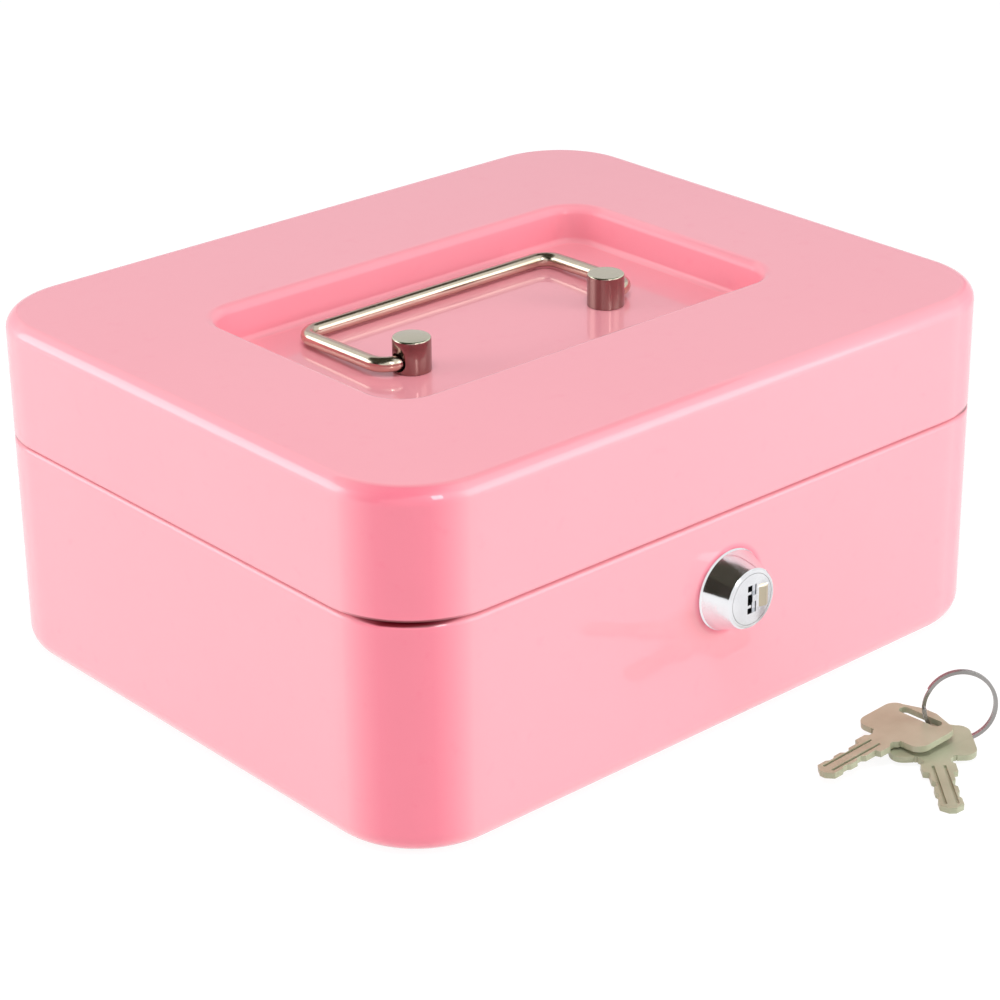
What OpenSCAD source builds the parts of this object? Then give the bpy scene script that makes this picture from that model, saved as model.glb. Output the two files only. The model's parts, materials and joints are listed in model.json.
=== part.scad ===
// Steel cash box: a drawn base and a hinged lid with a sunk bail handle,
// a cam lock in the front, a lift-out coin tray and two keys on a ring.
// X is the length, -Y the front with the lock, Z is up, and the origin is
// on the ground below the middle of the closed box.

/* [Box] */
// Length of the box, left to right
box_l = 200; // [180:1:260]
// Depth of the box, front to back
box_w = 165; // [155:1:220]
// Height of the closed box
box_h = 90; // [84:1:120]
// Height of the lid's lower edge above the ground
seam_z = 59.1; // [52:0.1:64]
// Radius of the four upright corners
corner_r = 24; // [14:1:28]
// Radius along the bottom edge of the base
bottom_r = 6; // [3:0.5:9]
// Radius along the top edge of the lid
top_r = 4; // [2:0.5:6]
// Thickness of the sheet steel
sheet = 1; // [0.7:0.1:1.2]

/* [Rim] */
// Sideways gap between the lid's skirt and the base's lip
lip_gap = 0.5; // [0.3:0.1:0.8]
// Height of the base's lip above the lid's lower edge
lip_h = 4.5; // [3:0.5:5]
// Upright gap between the base's shoulder and the lid's lower edge
seam_gap = 0.6; // [0.3:0.1:1]

/* [Recess] */
// Length of the flat floor of the recess in the lid
recess_l = 117; // [110:1:130]
// Width of the flat floor of the recess
recess_w = 67.6; // [64:0.2:80]
// Depth of the recess below the top of the lid
recess_depth = 9.5; // [9:0.5:12]
// Corner radius of the recess floor
recess_corner = 6; // [4:0.5:10]
// Slope of the recess wall away from upright, in degrees
recess_slope = 15; // [8:1:25]
// Radius of the recess rim
rim_r = 3; // [2:0.5:3.5]
// Radius between the recess floor and its wall
recess_floor_r = 2; // [1:0.5:2.5]

/* [Handle] */
// Distance between the two handle posts
post_span = 64; // [56:0.2:72]
// Diameter of a handle post
post_d = 9.5; // [8:0.5:10]
// Height of a handle post above the recess floor
post_h = 8.5; // [7.5:0.5:9]
// Place of the posts from the middle of the lid, to the back
handle_y = -6.5; // [-8:0.5:-2]
// Diameter of the bail's wire
wire_d = 3.8; // [3:0.2:4]
// Distance from the bail's pivot to the middle of its bar
bail_reach = 32; // [26:0.5:33]
// Gap between a post and the bail's arm beside it
arm_gap = 2.3; // [1:0.1:3]
// Radius of the bail's bends, at the middle of the wire
bail_bend = 4.8; // [3:0.1:5]
// Height of the bail's pivot above the recess floor
pivot_h = 2.9; // [2.6:0.1:3.5]
// Depth of the blind socket in the side of a post
socket_depth = 2.7; // [2:0.1:2.8]
// Gap all round the wire in its socket
socket_gap = 0.5; // [0.2:0.1:0.5]
// Height of the resting bar above the recess floor
bar_lift = 0.25; // [0.1:0.05:0.5]
// Diameter of the screw up into a post
post_screw_d = 3; // [2.5:0.5:3]

/* [Hinge] */
// Length of the hinge along the back
hinge_l = 130; // [100:1:140]
// Number of knuckles, counting both leaves
knuckles = 7; // [5:2:9]
// Diameter of the hinge pin
pin_d = 2; // [1.6:0.1:2.2]
// Outer diameter of a knuckle
knuckle_d = 4; // [3.8:0.1:4.6]
// Thickness of a hinge leaf
leaf_t = 0.9; // [0.7:0.1:1.1]
// Height of a hinge leaf, from the pin
leaf_h = 12.6; // [12:0.2:16]
// Angle at which the stop lips hold the open lid, in degrees
lid_open = 105; // [95:1:115]

/* [Lock] */
// Distance from the lid's lower edge down to the middle of the lock
lock_drop = 20.6; // [20:0.2:24]
// Diameter of the lock's cone where it meets the wall
cone_d = 20.5; // [19:0.5:24]
// Diameter of the lock's front face
face_d = 15.2; // [15:0.1:17]
// How far the lock stands out of the wall
lock_proud = 7.5; // [5:0.5:9]
// Diameter of the barrel through the wall
barrel_d = 15.6; // [15:0.2:17]
// Length of the barrel, from the outside of the wall
barrel_len = 16.5; // [15:0.5:18]
// Diameter of the plug's head, seen at the front
plug_head_d = 12.8; // [12.2:0.2:13.4]
// Diameter of the plug's body
plug_d = 11.2; // [10.8:0.1:11.4]
// Height of the key slot in the plug
keyway_h = 7.2; // [6.6:0.2:7.6]
// Width across the flats of the lock nut
nut_flats = 21; // [19:0.5:23]
// Thickness of the lock nut
nut_t = 3; // [2:0.5:4]
// Width of the cam's arm
cam_w = 7; // [6:0.5:8]
// Thickness of the cam
cam_t = 1.5; // [1.2:0.1:2]
// Height of the cam's hook, outwards
hook_h = 4; // [3:0.5:5]
// Number of wafers in the plug
wafers = 4; // [3:1:5]

/* [Tray] */
// Height of the coin tray
tray_h = 25.3; // [20:0.1:28]
// Thickness of the tray's walls and dividers
tray_wall = 2; // [1.5:0.1:2.5]
// Depth of the row of coin cups, front to back
cup_row = 70; // [50:1:80]
// Number of coin cups in that row
cups = 4; // [3:1:5]
// Width of the ledges that the tray rests on
ledge_w = 5.5; // [4.5:0.5:8]
// Length of a ledge
ledge_l = 90; // [60:1:92]

/* [Keys] */
// Length of a key
key_l = 37; // [36:0.5:42]
// Width of a key's bow
bow_w = 20.8; // [19:0.2:23]
// Width of a key's blade
blade_w = 5.6; // [5:0.1:6.2]
// Length of a key's blade
blade_l = 15; // [14:0.5:16]
// Thickness of a key
key_t = 1.6; // [1.4:0.1:1.8]
// Length of the slot in a key's bow
slot_l = 12.8; // [11:0.2:13]
// Width of that slot
slot_w = 2.6; // [2.4:0.1:3]
// Outer diameter of the key ring
ring_d = 18.1; // [17:0.1:22]
// Thickness of the ring's wire, inwards
ring_t = 0.9; // [0.7:0.1:1]
// Width of the ring's two turns together
ring_w = 1.4; // [1:0.1:1.6]

/* [Hidden] */
$fn = 48;
pink = [0.97, 0.68, 0.74];
nickel = [0.78, 0.74, 0.68];
chrome = [0.85, 0.86, 0.88];
zinc = [0.70, 0.71, 0.72];
brass = [0.78, 0.68, 0.45];
black = [0.10, 0.10, 0.11];
eps = 0.01;
arc_steps = 8;
edge_break = 0.3;
moved_gap = 0.2;

// Places that follow from the box
front_y = -box_w / 2;
back_y = box_w / 2;
core_x = box_l / 2 - corner_r;
core_y = box_w / 2 - corner_r;
lip_step = sheet + lip_gap;
lip_r = corner_r - lip_step;
lip_top = seam_z + lip_h;
shoulder_z = seam_z - seam_gap;
inner_x = box_l / 2 - sheet;

// The recess and what stands in it
floor_z = box_h - recess_depth;
pan_x = recess_l / 2 - recess_corner;
pan_y = recess_w / 2 - recess_corner;
post_x = post_span / 2;
wire_r = wire_d / 2;
arm_x = post_x + post_d / 2 + arm_gap + wire_r;
pivot_z = floor_z + pivot_h;
bail_tilt = asin((pivot_h - wire_r - bar_lift) / bail_reach);
socket_end = post_x + post_d / 2 - socket_depth;
stub_gap = 0.3;
washer_t = 0.6;
screw_head_h = 1.8;
thread_gap = 0.05;
screw_grip = post_h - 3;
slot_gauge = 0.8;

// The hinge, around its pin
hinge_gap = 0.3;
hinge_y = back_y + knuckle_d / 2 + hinge_gap;
hinge_z = seam_z;
wall_off = -(knuckle_d / 2 + hinge_gap);
plate_off = wall_off + leaf_t;
neck_z = 2.6;
rivet_z = 8;
rivet_r = 1.5;
rivet_head_r = 2.6;
rivet_head_h = 0.9;
rivet_tail_r = 2.3;
rivet_tail_h = 0.7;
pin_gap = 0.06;
stop_reach = knuckle_d / 2 + 1.3;
stop_t = 0.8;

// The lock, along its own axis
lock_z = seam_z - lock_drop;
face_y = front_y - lock_proud;
barrel_r = barrel_d / 2;
barrel_flat = barrel_r - 1;
barrel_end = front_y + barrel_len;
run_gap = 0.06;
head_depth = 1.6;
groove_gap = 0.1;
face_break = 0.4;
lock_washer_t = 0.8;
lock_washer_w = 2.6;
stack_gap = 0.1;
stop_washer_t = 0.8;
tail_r = 3.4;
tail_flat = 2.6;
cam_front = barrel_end + stack_gap + stop_washer_t;
cam_back = cam_front + cam_t;
cam_washer_t = 0.6;
cam_washer_r = 4.6;
cam_screw_r = 1.45;
cam_screw_grip = 4.8;
cam_head_r = 3.2;
cam_head_h = 1.8;
lock_end = cam_back + cam_washer_t + cam_head_h;
hub_r = 5.4;
tab_half = 14;
stop_play = 1.5;

// Inside the plug: the key slot, and the wafers with their springs
key_play = 0.1;
keyway_web = 2;
mouth_depth = 0.8;
mouth_flare = 0.5;
nub_x = 3.7;
nub_r = 2.2;
nub_h = 5;
nub_proud = 0.8;
wafer_start = 6;
wafer_pitch = 2.4;
wafer_w = 5.2;
wafer_t = 0.8;
wafer_gap = 0.1;
wafer_h = 2 * (sqrt(pow(plug_d / 2, 2) - pow(wafer_w / 2, 2)) - wafer_gap);
lug_w = 1.5;
lug_h = 1.1;
lug_x = (wafer_w + lug_w) / 2;
spring_h = 3;
spring_r = 0.48;
spring_wire_r = 0.14;

// The strike's tab under the lid, and the hook that passes over it
strike_t = 1;
tab_gap = 0.6;
tab_w = 6;
tab_drop = 1.2;
tab_x0 = cam_w / 2 + tab_gap;
tab_x1 = tab_x0 + tab_w;
tab_top = seam_z - tab_drop;
hook_gap = 0.4;
strike_clear = 2;
weld_h = 9;
tab_lap = 0.7;
hook_in = norm([tab_x1, tab_top - lock_z]) + hook_gap;
hook_out = hook_in + hook_h;
hook_sweep = asin(tab_x1 / hook_in);
strike_gap = 1.1;
strike_y = front_y + lip_step + sheet + strike_gap;

// The tray
tray_gap = 1.6;
tray_ease = 2;
tray_back = back_y - lip_step - sheet - tray_gap;
tray_front_gap = 1.2;
tray_front = lock_end + tray_front_gap;
tray_x = box_l / 2 - lip_step - sheet - tray_gap;
tray_top = seam_z + 2.4;
tray_z = tray_top - tray_h;
tray_back_r = lip_r - sheet - tray_gap + tray_ease;
tray_front_r = 8;
cup_r = 10;
grip_r = 12;
ledge_drop = 9;
seat_gap = 0.2;
ledge_z = tray_z - seat_gap;

// The keys lie in front of the box, threaded on the standing ring
ring_x = 37.8;
ring_y = front_y - 40.8;
ring_turn = -38;
ring_lean = 7;
ring_mid = (ring_d - ring_t) / 2;
shoulder_l = 7;
bow_start = blade_l + shoulder_l;
bow_web = 3.5;
reach = key_l - bow_web;
key_gap = 0.3;
web = (bow_w - slot_l) / 2;
web_shift = 0.5;
ring_in = ring_d / 2 - ring_t;
ring_rise = ring_in - sqrt(ring_in * ring_in - pow(web / 2 + web_shift, 2));
key_b_turn = 51.4;
key_b_pitch = asin((ring_t + ring_rise + key_gap) / (reach - 1));
key_a_turn = -1.5;
key_a_roll = 3;
key_a_pitch = 4;
key_a_rise = (reach - 6) * sin(key_b_pitch) + key_t + key_gap - bow_start * sin(key_a_pitch);

// Points on an arc in the plane, from angle a0 to a1
function arc(cx, cy, r, a0, a1, n = arc_steps) =
    [for (i = [0:n]) [cx + r * cos(a0 + (a1 - a0) * i / n), cy + r * sin(a0 + (a1 - a0) * i / n)]];

// A rectangle x to either side, from y0 to y1, with its own radius front and back
function rounded(x, y0, y1, front_r, back_r) = concat(
    arc(x - back_r, y1 - back_r, back_r, 0, 90),
    arc(back_r - x, y1 - back_r, back_r, 90, 180),
    arc(front_r - x, y0 + front_r, front_r, 180, 270),
    arc(x - front_r, y0 + front_r, front_r, 270, 360)
);

// A section drawn from a corner's centre outwards, carried round a frame
// of four quarter turns and four straight sides
module carried_round(hx, hy) {
    for (corner = [[hx, hy, 0], [-hx, hy, 90], [-hx, -hy, 180], [hx, -hy, 270]])
        translate([corner[0], corner[1], 0]) rotate(corner[2]) rotate_extrude(angle = 90) children();
    for (turn = [0, 180]) {
        rotate(turn) translate([hx, 0, 0]) rotate([90, 0, 0])
            linear_extrude(2 * hy, center = true) children();
        rotate(turn + 90) translate([hy, 0, 0]) rotate([90, 0, 0])
            linear_extrude(2 * hx, center = true) children();
    }
}

// A flat shape in the XZ plane around the lock's axis, from y_back forwards
module lock_plate(y_back, t) {
    translate([0, y_back, lock_z]) rotate([90, 0, 0]) linear_extrude(t) children();
}

// A round shape along the lock's axis, whose section is (radius, depth behind y)
module lock_turned(y) {
    translate([0, y, lock_z]) rotate([-90, 0, 0]) rotate_extrude() children();
}

// A circle with two upright flats
module double_d(r, flat) {
    intersection() {
        circle(r);
        square([2 * flat, 4 * r], center = true);
    }
}

// A wedge from angle a0 to a1, wide enough to cut any lock piece
module wedge(a0, a1) {
    polygon(concat([[0, 0]], arc(0, 0, 40, a0, a1)));
}

module base_section() {
    polygon(concat(
        [[0, 0]],
        arc(corner_r - bottom_r, bottom_r, bottom_r, -90, 0),
        arc(lip_r, shoulder_z - lip_step, lip_step, 0, 90),
        [[lip_r, lip_top - edge_break], [lip_r - edge_break, lip_top], [lip_r - sheet, lip_top],
            [lip_r - sheet, shoulder_z - sheet], [corner_r - sheet, shoulder_z - lip_step - sheet]],
        arc(corner_r - bottom_r, bottom_r, bottom_r - sheet, 0, -90),
        [[0, sheet]]
    ));
}

module base_shell() {
    color(pink) difference() {
        union() {
            carried_round(core_x, core_y) base_section();
            translate([-core_x, -core_y, 0]) cube([2 * core_x, 2 * core_y, sheet]);
        }
        lock_plate(front_y + sheet + eps, sheet + 2 * eps) double_d(barrel_r + 0.2, barrel_flat + 0.2);
        rivet_places(-rivet_z) cylinder(r = rivet_r + run_gap, h = 4 * sheet, center = true);
    }
}

module lid_section() {
    polygon(concat(
        [[0, box_h - sheet], [0, box_h]],
        arc(corner_r - top_r, box_h - top_r, top_r, 90, 0),
        [[corner_r, seam_z], [corner_r - sheet, seam_z]],
        arc(corner_r - top_r, box_h - top_r, top_r - sheet, 0, 90)
    ));
}

// Where the rim's arc of the recess begins, outwards from the floor's edge
wall_rise = recess_depth - (recess_floor_r + rim_r) * (1 - sin(recess_slope));
rim_off = (recess_floor_r + rim_r) * cos(recess_slope) + wall_rise * tan(recess_slope);
pan_rim_r = recess_corner + rim_off;
rim_flat = 2;

module recess_section() {
    top_side = concat(
        [[0, floor_z]],
        arc(recess_corner, floor_z + recess_floor_r, recess_floor_r, -90, -recess_slope),
        arc(pan_rim_r, box_h - rim_r, rim_r, 180 - recess_slope, 90),
        [[pan_rim_r + rim_flat, box_h], [pan_rim_r + rim_flat, box_h - sheet]]
    );
    under_side = concat(
        arc(pan_rim_r, box_h - rim_r, rim_r - sheet, 90, 180 - recess_slope),
        arc(recess_corner, floor_z + recess_floor_r, recess_floor_r + sheet, -recess_slope, -90),
        [[0, floor_z - sheet]]
    );
    polygon(concat(top_side, under_side));
}

module lid_shell() {
    color(pink) difference() {
        union() {
            carried_round(core_x, core_y) lid_section();
            difference() {
                translate([-core_x, -core_y, box_h - sheet]) cube([2 * core_x, 2 * core_y, sheet]);
                translate([0, 0, box_h - 2 * sheet]) linear_extrude(3 * sheet) recess_opening();
            }
            carried_round(pan_x, pan_y) recess_section();
            translate([-pan_x, -pan_y, floor_z - sheet]) cube([2 * pan_x, 2 * pan_y, sheet]);
        }
        for (x = [-post_x, post_x]) translate([x, handle_y, floor_z])
            cylinder(d = post_screw_d + moved_gap, h = 4 * sheet, center = true);
        rivet_places(rivet_z) cylinder(r = rivet_r + run_gap, h = 4 * sheet, center = true);
    }
}

// The hole in the lid's top plate, under the recess's flat rim
module recess_opening() {
    r = pan_rim_r + rim_flat / 2;
    polygon(rounded(pan_x + r, -pan_y - r, pan_y + r, r, r));
}

// Rivet axes through the back wall, dz above the pin; children run along Y
module rivet_places(dz) {
    for (x = [-0.4, -0.15, 0.15, 0.4] * hinge_l)
        translate([x, back_y, hinge_z + dz]) rotate([-90, 0, 0]) children();
}

// A leaf's plate and knuckles around the pin, hanging down; first is 0 or 1
module hinge_leaf(first) {
    pitch = hinge_l / knuckles;
    rotate([90, 0, 90]) linear_extrude(hinge_l, center = true)
        translate([wall_off, -leaf_h]) square([leaf_t, leaf_h - neck_z]);
    for (i = [first:2:knuckles - 1])
        translate([(i - (knuckles - 1) / 2) * pitch, 0, 0]) rotate([90, 0, 90])
            linear_extrude(pitch - 0.2, center = true) difference() {
                union() {
                    circle(d = knuckle_d);
                    polygon([[wall_off, -neck_z - 0.5], [plate_off, -neck_z - 0.5],
                        [plate_off + hinge_gap, -neck_z + 0.7], [plate_off + hinge_gap, 0],
                        [wall_off + hinge_gap, 0], [wall_off + hinge_gap, -neck_z + 0.4]]);
                }
                circle(d = pin_d + 2 * pin_gap);
            }
}

module hinge_leaf_base() {
    color(pink) difference() {
        translate([0, hinge_y, hinge_z]) hinge_leaf(0);
        rivet_places(-rivet_z) cylinder(r = rivet_r + run_gap, h = 4 * sheet, center = true);
    }
}

// The stop lip stands out of a lid knuckle and meets the base leaf at lid_open
stop_corner_r = norm([stop_reach, stop_t / 2]);
stop_turn = lid_open - acos((plate_off + 0.1) / stop_corner_r) + atan(stop_t / 2 / stop_reach);

module hinge_leaf_lid() {
    pitch = hinge_l / knuckles;
    color(pink) difference() {
        translate([0, hinge_y, hinge_z]) {
            mirror([0, 0, 1]) hinge_leaf(1);
            for (i = [1:2:knuckles - 1])
                translate([(i - (knuckles - 1) / 2) * pitch, 0, 0]) rotate([stop_turn, 0, 0])
                    translate([-pitch / 2 + 0.1, knuckle_d / 2 - 0.4, -stop_t / 2])
                        cube([pitch - 0.2, stop_reach - knuckle_d / 2 + 0.4, stop_t]);
        }
        rivet_places(rivet_z) cylinder(r = rivet_r + run_gap, h = 4 * sheet, center = true);
    }
}

module hinge_pin() {
    color(zinc) translate([0, hinge_y, hinge_z]) rotate([0, 90, 0]) {
        cylinder(d = pin_d, h = hinge_l + 0.4, center = true);
        for (side = [0, 1]) mirror([0, 0, side])
            translate([0, 0, hinge_l / 2 + 0.1]) cylinder(r1 = pin_d / 2 + 0.6, r2 = pin_d / 2, h = 0.8);
    }
}

// A rivet along Y: shank through wall and leaf, a dome outside, a flat head inside
module rivet() {
    dome_r = (pow(rivet_head_r, 2) + pow(rivet_head_h, 2)) / (2 * rivet_head_h);
    dome = arc(0, leaf_t + rivet_head_h - dome_r, dome_r, 90 - asin(rivet_head_r / dome_r), 90);
    rotate_extrude() {
        polygon(concat([[0, leaf_t]], dome));
        translate([0, -sheet - eps]) square([rivet_r, sheet + leaf_t + 2 * eps]);
        translate([0, -sheet - rivet_tail_h]) square([rivet_tail_r, rivet_tail_h]);
    }
}

module hinge_rivets_base() {
    color(zinc) rivet_places(-rivet_z) rivet();
}

module hinge_rivets_lid() {
    color(zinc) rivet_places(rivet_z) rivet();
}

// A post on the right, with its blind socket facing outwards
module handle_post() {
    difference() {
        translate([post_x, handle_y, floor_z]) cylinder(d = post_d, h = post_h);
        translate([socket_end, handle_y, pivot_z]) rotate([0, 90, 0])
            cylinder(r = wire_r + socket_gap, h = socket_depth + 1);
        translate([post_x, handle_y, floor_z - eps]) cylinder(d = post_screw_d, h = screw_grip + 1);
    }
}

module handle_post_right() {
    color(nickel) handle_post();
}

module handle_post_left() {
    color(nickel) mirror([1, 0, 0]) handle_post();
}

// A quarter bend of the bail's wire, from the direction X to the direction Y
module wire_bend() {
    rotate_extrude(angle = 90) translate([bail_bend, 0]) circle(wire_r);
}

// Half of the bail about its pivot, from the middle of the bar to the stub
module bail_half() {
    straight_x = arm_x - bail_bend;
    stub_x = socket_end + stub_gap;
    translate([0, bail_reach, 0]) rotate([0, 90, 0]) cylinder(r = wire_r, h = straight_x);
    translate([straight_x, bail_reach - bail_bend, 0]) wire_bend();
    translate([arm_x, bail_bend, 0]) rotate([-90, 0, 0]) cylinder(r = wire_r, h = bail_reach - 2 * bail_bend);
    translate([straight_x, bail_bend, 0]) rotate(-90) wire_bend();
    translate([stub_x, 0, 0]) rotate([0, 90, 0]) cylinder(r = wire_r, h = straight_x - stub_x);
}

module handle_bail() {
    color(nickel) translate([0, handle_y, pivot_z]) rotate([-bail_tilt, 0, 0]) {
        bail_half();
        mirror([1, 0, 0]) bail_half();
    }
}

// The cut of a cross slot, from just under z = 0 upwards
module cross_slot(width, depth) {
    for (turn = [0, 90]) rotate(turn)
        translate([-width / 2, -slot_gauge / 2, -eps]) cube([width, slot_gauge, depth + eps]);
}

module handle_screws() {
    under_r = post_screw_d * 0.95;
    color(zinc) for (x = [-post_x, post_x])
        translate([x, handle_y, floor_z - sheet - washer_t]) difference() {
            union() {
                cylinder(r = post_screw_d / 2 - thread_gap, h = sheet + washer_t + screw_grip);
                translate([0, 0, -screw_head_h]) cylinder(r1 = 0.8 * under_r, r2 = under_r, h = screw_head_h);
            }
            translate([0, 0, -screw_head_h]) cross_slot(post_screw_d, screw_head_h / 2);
        }
}

module handle_washers() {
    color(zinc) for (x = [-post_x, post_x])
        translate([x, handle_y, floor_z - sheet - washer_t]) difference() {
            cylinder(r = post_screw_d * 1.35, h = washer_t);
            translate([0, 0, -eps]) cylinder(d = post_screw_d + moved_gap, h = washer_t + 2 * eps);
        }
}

module lock_housing() {
    bore = plug_d / 2 + run_gap;
    seat = plug_head_d / 2 + groove_gap;
    face_r = face_d / 2;
    cone_r = cone_d / 2;
    color(chrome) difference() {
        union() {
            lock_turned(face_y) polygon([
                [bore, 0], [face_r - face_break, 0], [face_r, face_break],
                [cone_r - edge_break, lock_proud - 2 * face_break], [cone_r, lock_proud - face_break],
                [cone_r, lock_proud], [bore, lock_proud]
            ]);
            lock_plate(barrel_end, barrel_len) difference() {
                double_d(barrel_r, barrel_flat);
                circle(bore);
            }
            // The quarter that stands behind the barrel and stops the plug's turn
            lock_plate(barrel_end + stop_washer_t, stop_washer_t) difference() {
                intersection() {
                    double_d(barrel_r, barrel_flat);
                    wedge(180 + tab_half + stop_play, 450 - tab_half - stop_play);
                }
                circle(hub_r + moved_gap);
            }
        }
        lock_plate(face_y + head_depth, head_depth + 1) circle(seat);
    }
}

// The key slot, drawn round the plug's axis with a rib for each groove of the
// blade; wide draws its mouth, with the outer walls further out
module keyway(wide = 0) {
    half_t = key_t / 2 + key_play;
    difference() {
        square([2 * half_t + 2 * wide, keyway_h], center = true);
        for (g = grooves) {
            rib_w = groove_w(g) - 2 * key_play;
            translate([-g[2] * half_t, -g[0]]) square([2 * groove_t, rib_w], center = true);
            translate([-g[2] * (half_t + wide / 2), -g[0]]) square([wide + eps, rib_w], center = true);
        }
    }
}

function wafer_y(i) = face_y + wafer_start + i * wafer_pitch;

// One cut across the plug, from the front of wafer i to its back
module wafer_cut(i) {
    lock_plate(wafer_y(i) + wafer_t + wafer_gap, wafer_t + 2 * wafer_gap) children();
}

// The foot of the spring beside wafer i
module spring_place(i) {
    translate([lug_x, wafer_y(i) + wafer_t / 2, lock_z - spring_h / 2]) children();
}

module lock_plug() {
    color(chrome) difference() {
        union() {
            lock_plate(face_y + head_depth - stack_gap, head_depth - stack_gap) circle(d = plug_head_d);
            lock_plate(barrel_end + stack_gap, barrel_end + stack_gap - face_y - 1) circle(d = plug_d);
            lock_plate(cam_back - stack_gap, cam_back - stack_gap - barrel_end) double_d(tail_r, tail_flat);
            intersection() {
                translate([nub_x, face_y + nub_r - nub_proud, lock_z - nub_h / 2])
                    cylinder(r = nub_r, h = nub_h);
                lock_plate(face_y + 1, 1 + nub_proud) circle(plug_head_d / 2 - edge_break);
            }
        }
        lock_plate(barrel_end - keyway_web, barrel_len + lock_proud) keyway();
        lock_plate(face_y + mouth_depth, mouth_depth + eps) keyway(mouth_flare);
        for (i = [0:wafers - 1]) {
            wafer_cut(i) {
                square([wafer_w + 2 * wafer_gap, plug_d], center = true);
                translate([wafer_w / 2, -spring_h / 2]) square([lug_w + wafer_gap, spring_h + lug_h]);
            }
            spring_place(i) cylinder(r = spring_r + moved_gap, h = spring_h);
        }
        translate([0, cam_back, lock_z]) rotate([90, 0, 0]) cylinder(r = cam_screw_r + thread_gap, h = 5);
    }
}

module lock_wafers() {
    color(brass) for (i = [0:wafers - 1]) lock_plate(wafer_y(i) + wafer_t, wafer_t) difference() {
        union() {
            square([wafer_w, wafer_h], center = true);
            translate([wafer_w / 2 - eps, spring_h / 2 + wafer_gap]) square([lug_w, lug_h - 2 * wafer_gap]);
        }
        square([key_t + 4 * wafer_gap, keyway_h + wafer_gap], center = true);
    }
}

// A wire spring of half coils, each tilted to meet the next, from z = 0 to h
module spring(r, wire_r, h, turns) {
    rise = (h - 2 * wire_r) / (2 * turns);
    tilt = atan(rise / 2 / r);
    for (i = [0:2 * turns - 1])
        translate([0, 0, wire_r + (i + 0.5) * rise]) rotate([0, 0, 180 * i]) rotate([0, tilt, 0])
            rotate_extrude(angle = 180, $fn = 24) translate([r / cos(tilt), 0]) circle(wire_r);
}

module wafer_springs() {
    color(zinc) for (i = [0:wafers - 1])
        spring_place(i) spring(spring_r, spring_wire_r, spring_h, 4);
}

module lock_washer() {
    color(zinc) lock_plate(front_y + sheet + lock_washer_t, lock_washer_t) difference() {
        circle(barrel_r + lock_washer_w);
        circle(barrel_r + moved_gap);
    }
}

module lock_nut() {
    color(zinc) lock_plate(front_y + sheet + lock_washer_t + nut_t, nut_t) difference() {
        circle(d = nut_flats / cos(30), $fn = 6);
        circle(barrel_r + thread_gap);
    }
}

// The disc that turns with the plug, with one tab between the barrel's stops
module stop_washer() {
    color(zinc) lock_plate(cam_front, stop_washer_t) difference() {
        union() {
            circle(hub_r);
            intersection() {
                circle(barrel_r - moved_gap);
                wedge(180 - tab_half, 180 + tab_half);
            }
        }
        double_d(tail_r + thread_gap, tail_flat + thread_gap);
    }
}

// The cam points left at rest and its hook leads it clockwise over the tab
module lock_cam() {
    color(zinc) lock_plate(cam_back, cam_t) rotate(90) difference() {
        union() {
            circle(hub_r);
            intersection() {
                translate([-cam_w / 2, 0]) square([cam_w, hook_out]);
                circle(hook_out);
            }
            intersection() {
                difference() {
                    circle(hook_out);
                    circle(hook_in);
                }
                wedge(90 - hook_sweep, 90);
            }
        }
        rotate(-90) double_d(tail_r + thread_gap, tail_flat + thread_gap);
    }
}

module cam_washer() {
    color(zinc) lock_plate(cam_back + cam_washer_t, cam_washer_t) difference() {
        circle(cam_washer_r);
        circle(cam_screw_r + moved_gap);
    }
}

module cam_screw() {
    y0 = cam_back + cam_washer_t;
    color(zinc) difference() {
        union() {
            lock_plate(y0, cam_screw_grip) circle(cam_screw_r);
            lock_turned(y0) polygon([[0, 0], [cam_head_r, 0], [cam_head_r, cam_head_h / 2],
                [0.7 * cam_head_r, cam_head_h], [0, cam_head_h]]);
        }
        translate([0, y0 + cam_head_h, lock_z]) rotate([90, 0, 0]) cross_slot(cam_head_r, cam_head_h / 2);
    }
}

// A bent strap: its top lies on the lid's skirt, and its tab reaches over the cam
module lock_strike() {
    wall_y = front_y + sheet;
    bend_z = lip_top + strike_clear;
    foot = [[wall_y, bend_z], [wall_y, bend_z + weld_h], [wall_y + strike_t, bend_z + weld_h],
        [wall_y + strike_t, bend_z + edge_break], [strike_y + strike_t, lip_top],
        [strike_y + strike_t, tab_top - strike_t], [strike_y, tab_top - strike_t],
        [strike_y, lip_top - edge_break]];
    color(zinc) {
        rotate([90, 0, 90]) linear_extrude(2 * tab_x1, center = true) polygon(foot);
        translate([tab_x0, strike_y, tab_top - strike_t])
            cube([tab_x1 - tab_x0, cam_back + tab_lap - strike_y, strike_t]);
    }
}

// The tray seen from above, drawn in by inset
module tray_outline(inset = 0) {
    polygon(rounded(tray_x - inset, tray_front + inset, tray_back - inset,
        tray_front_r - inset, tray_back_r - inset));
}

// A pocket between x0 and x1, y0 and y1, with scooped front and back edges
module scooped_pocket(x0, x1, y0, y1) {
    z0 = tray_z + tray_wall;
    translate([x0, 0, 0]) rotate([90, 0, 90]) linear_extrude(x1 - x0) polygon(concat(
        arc(y0 + cup_r, z0 + cup_r, cup_r, 180, 270),
        arc(y1 - cup_r, z0 + cup_r, cup_r, 270, 360),
        [[y1, tray_top + 1], [y0, tray_top + 1]]
    ));
}

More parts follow.
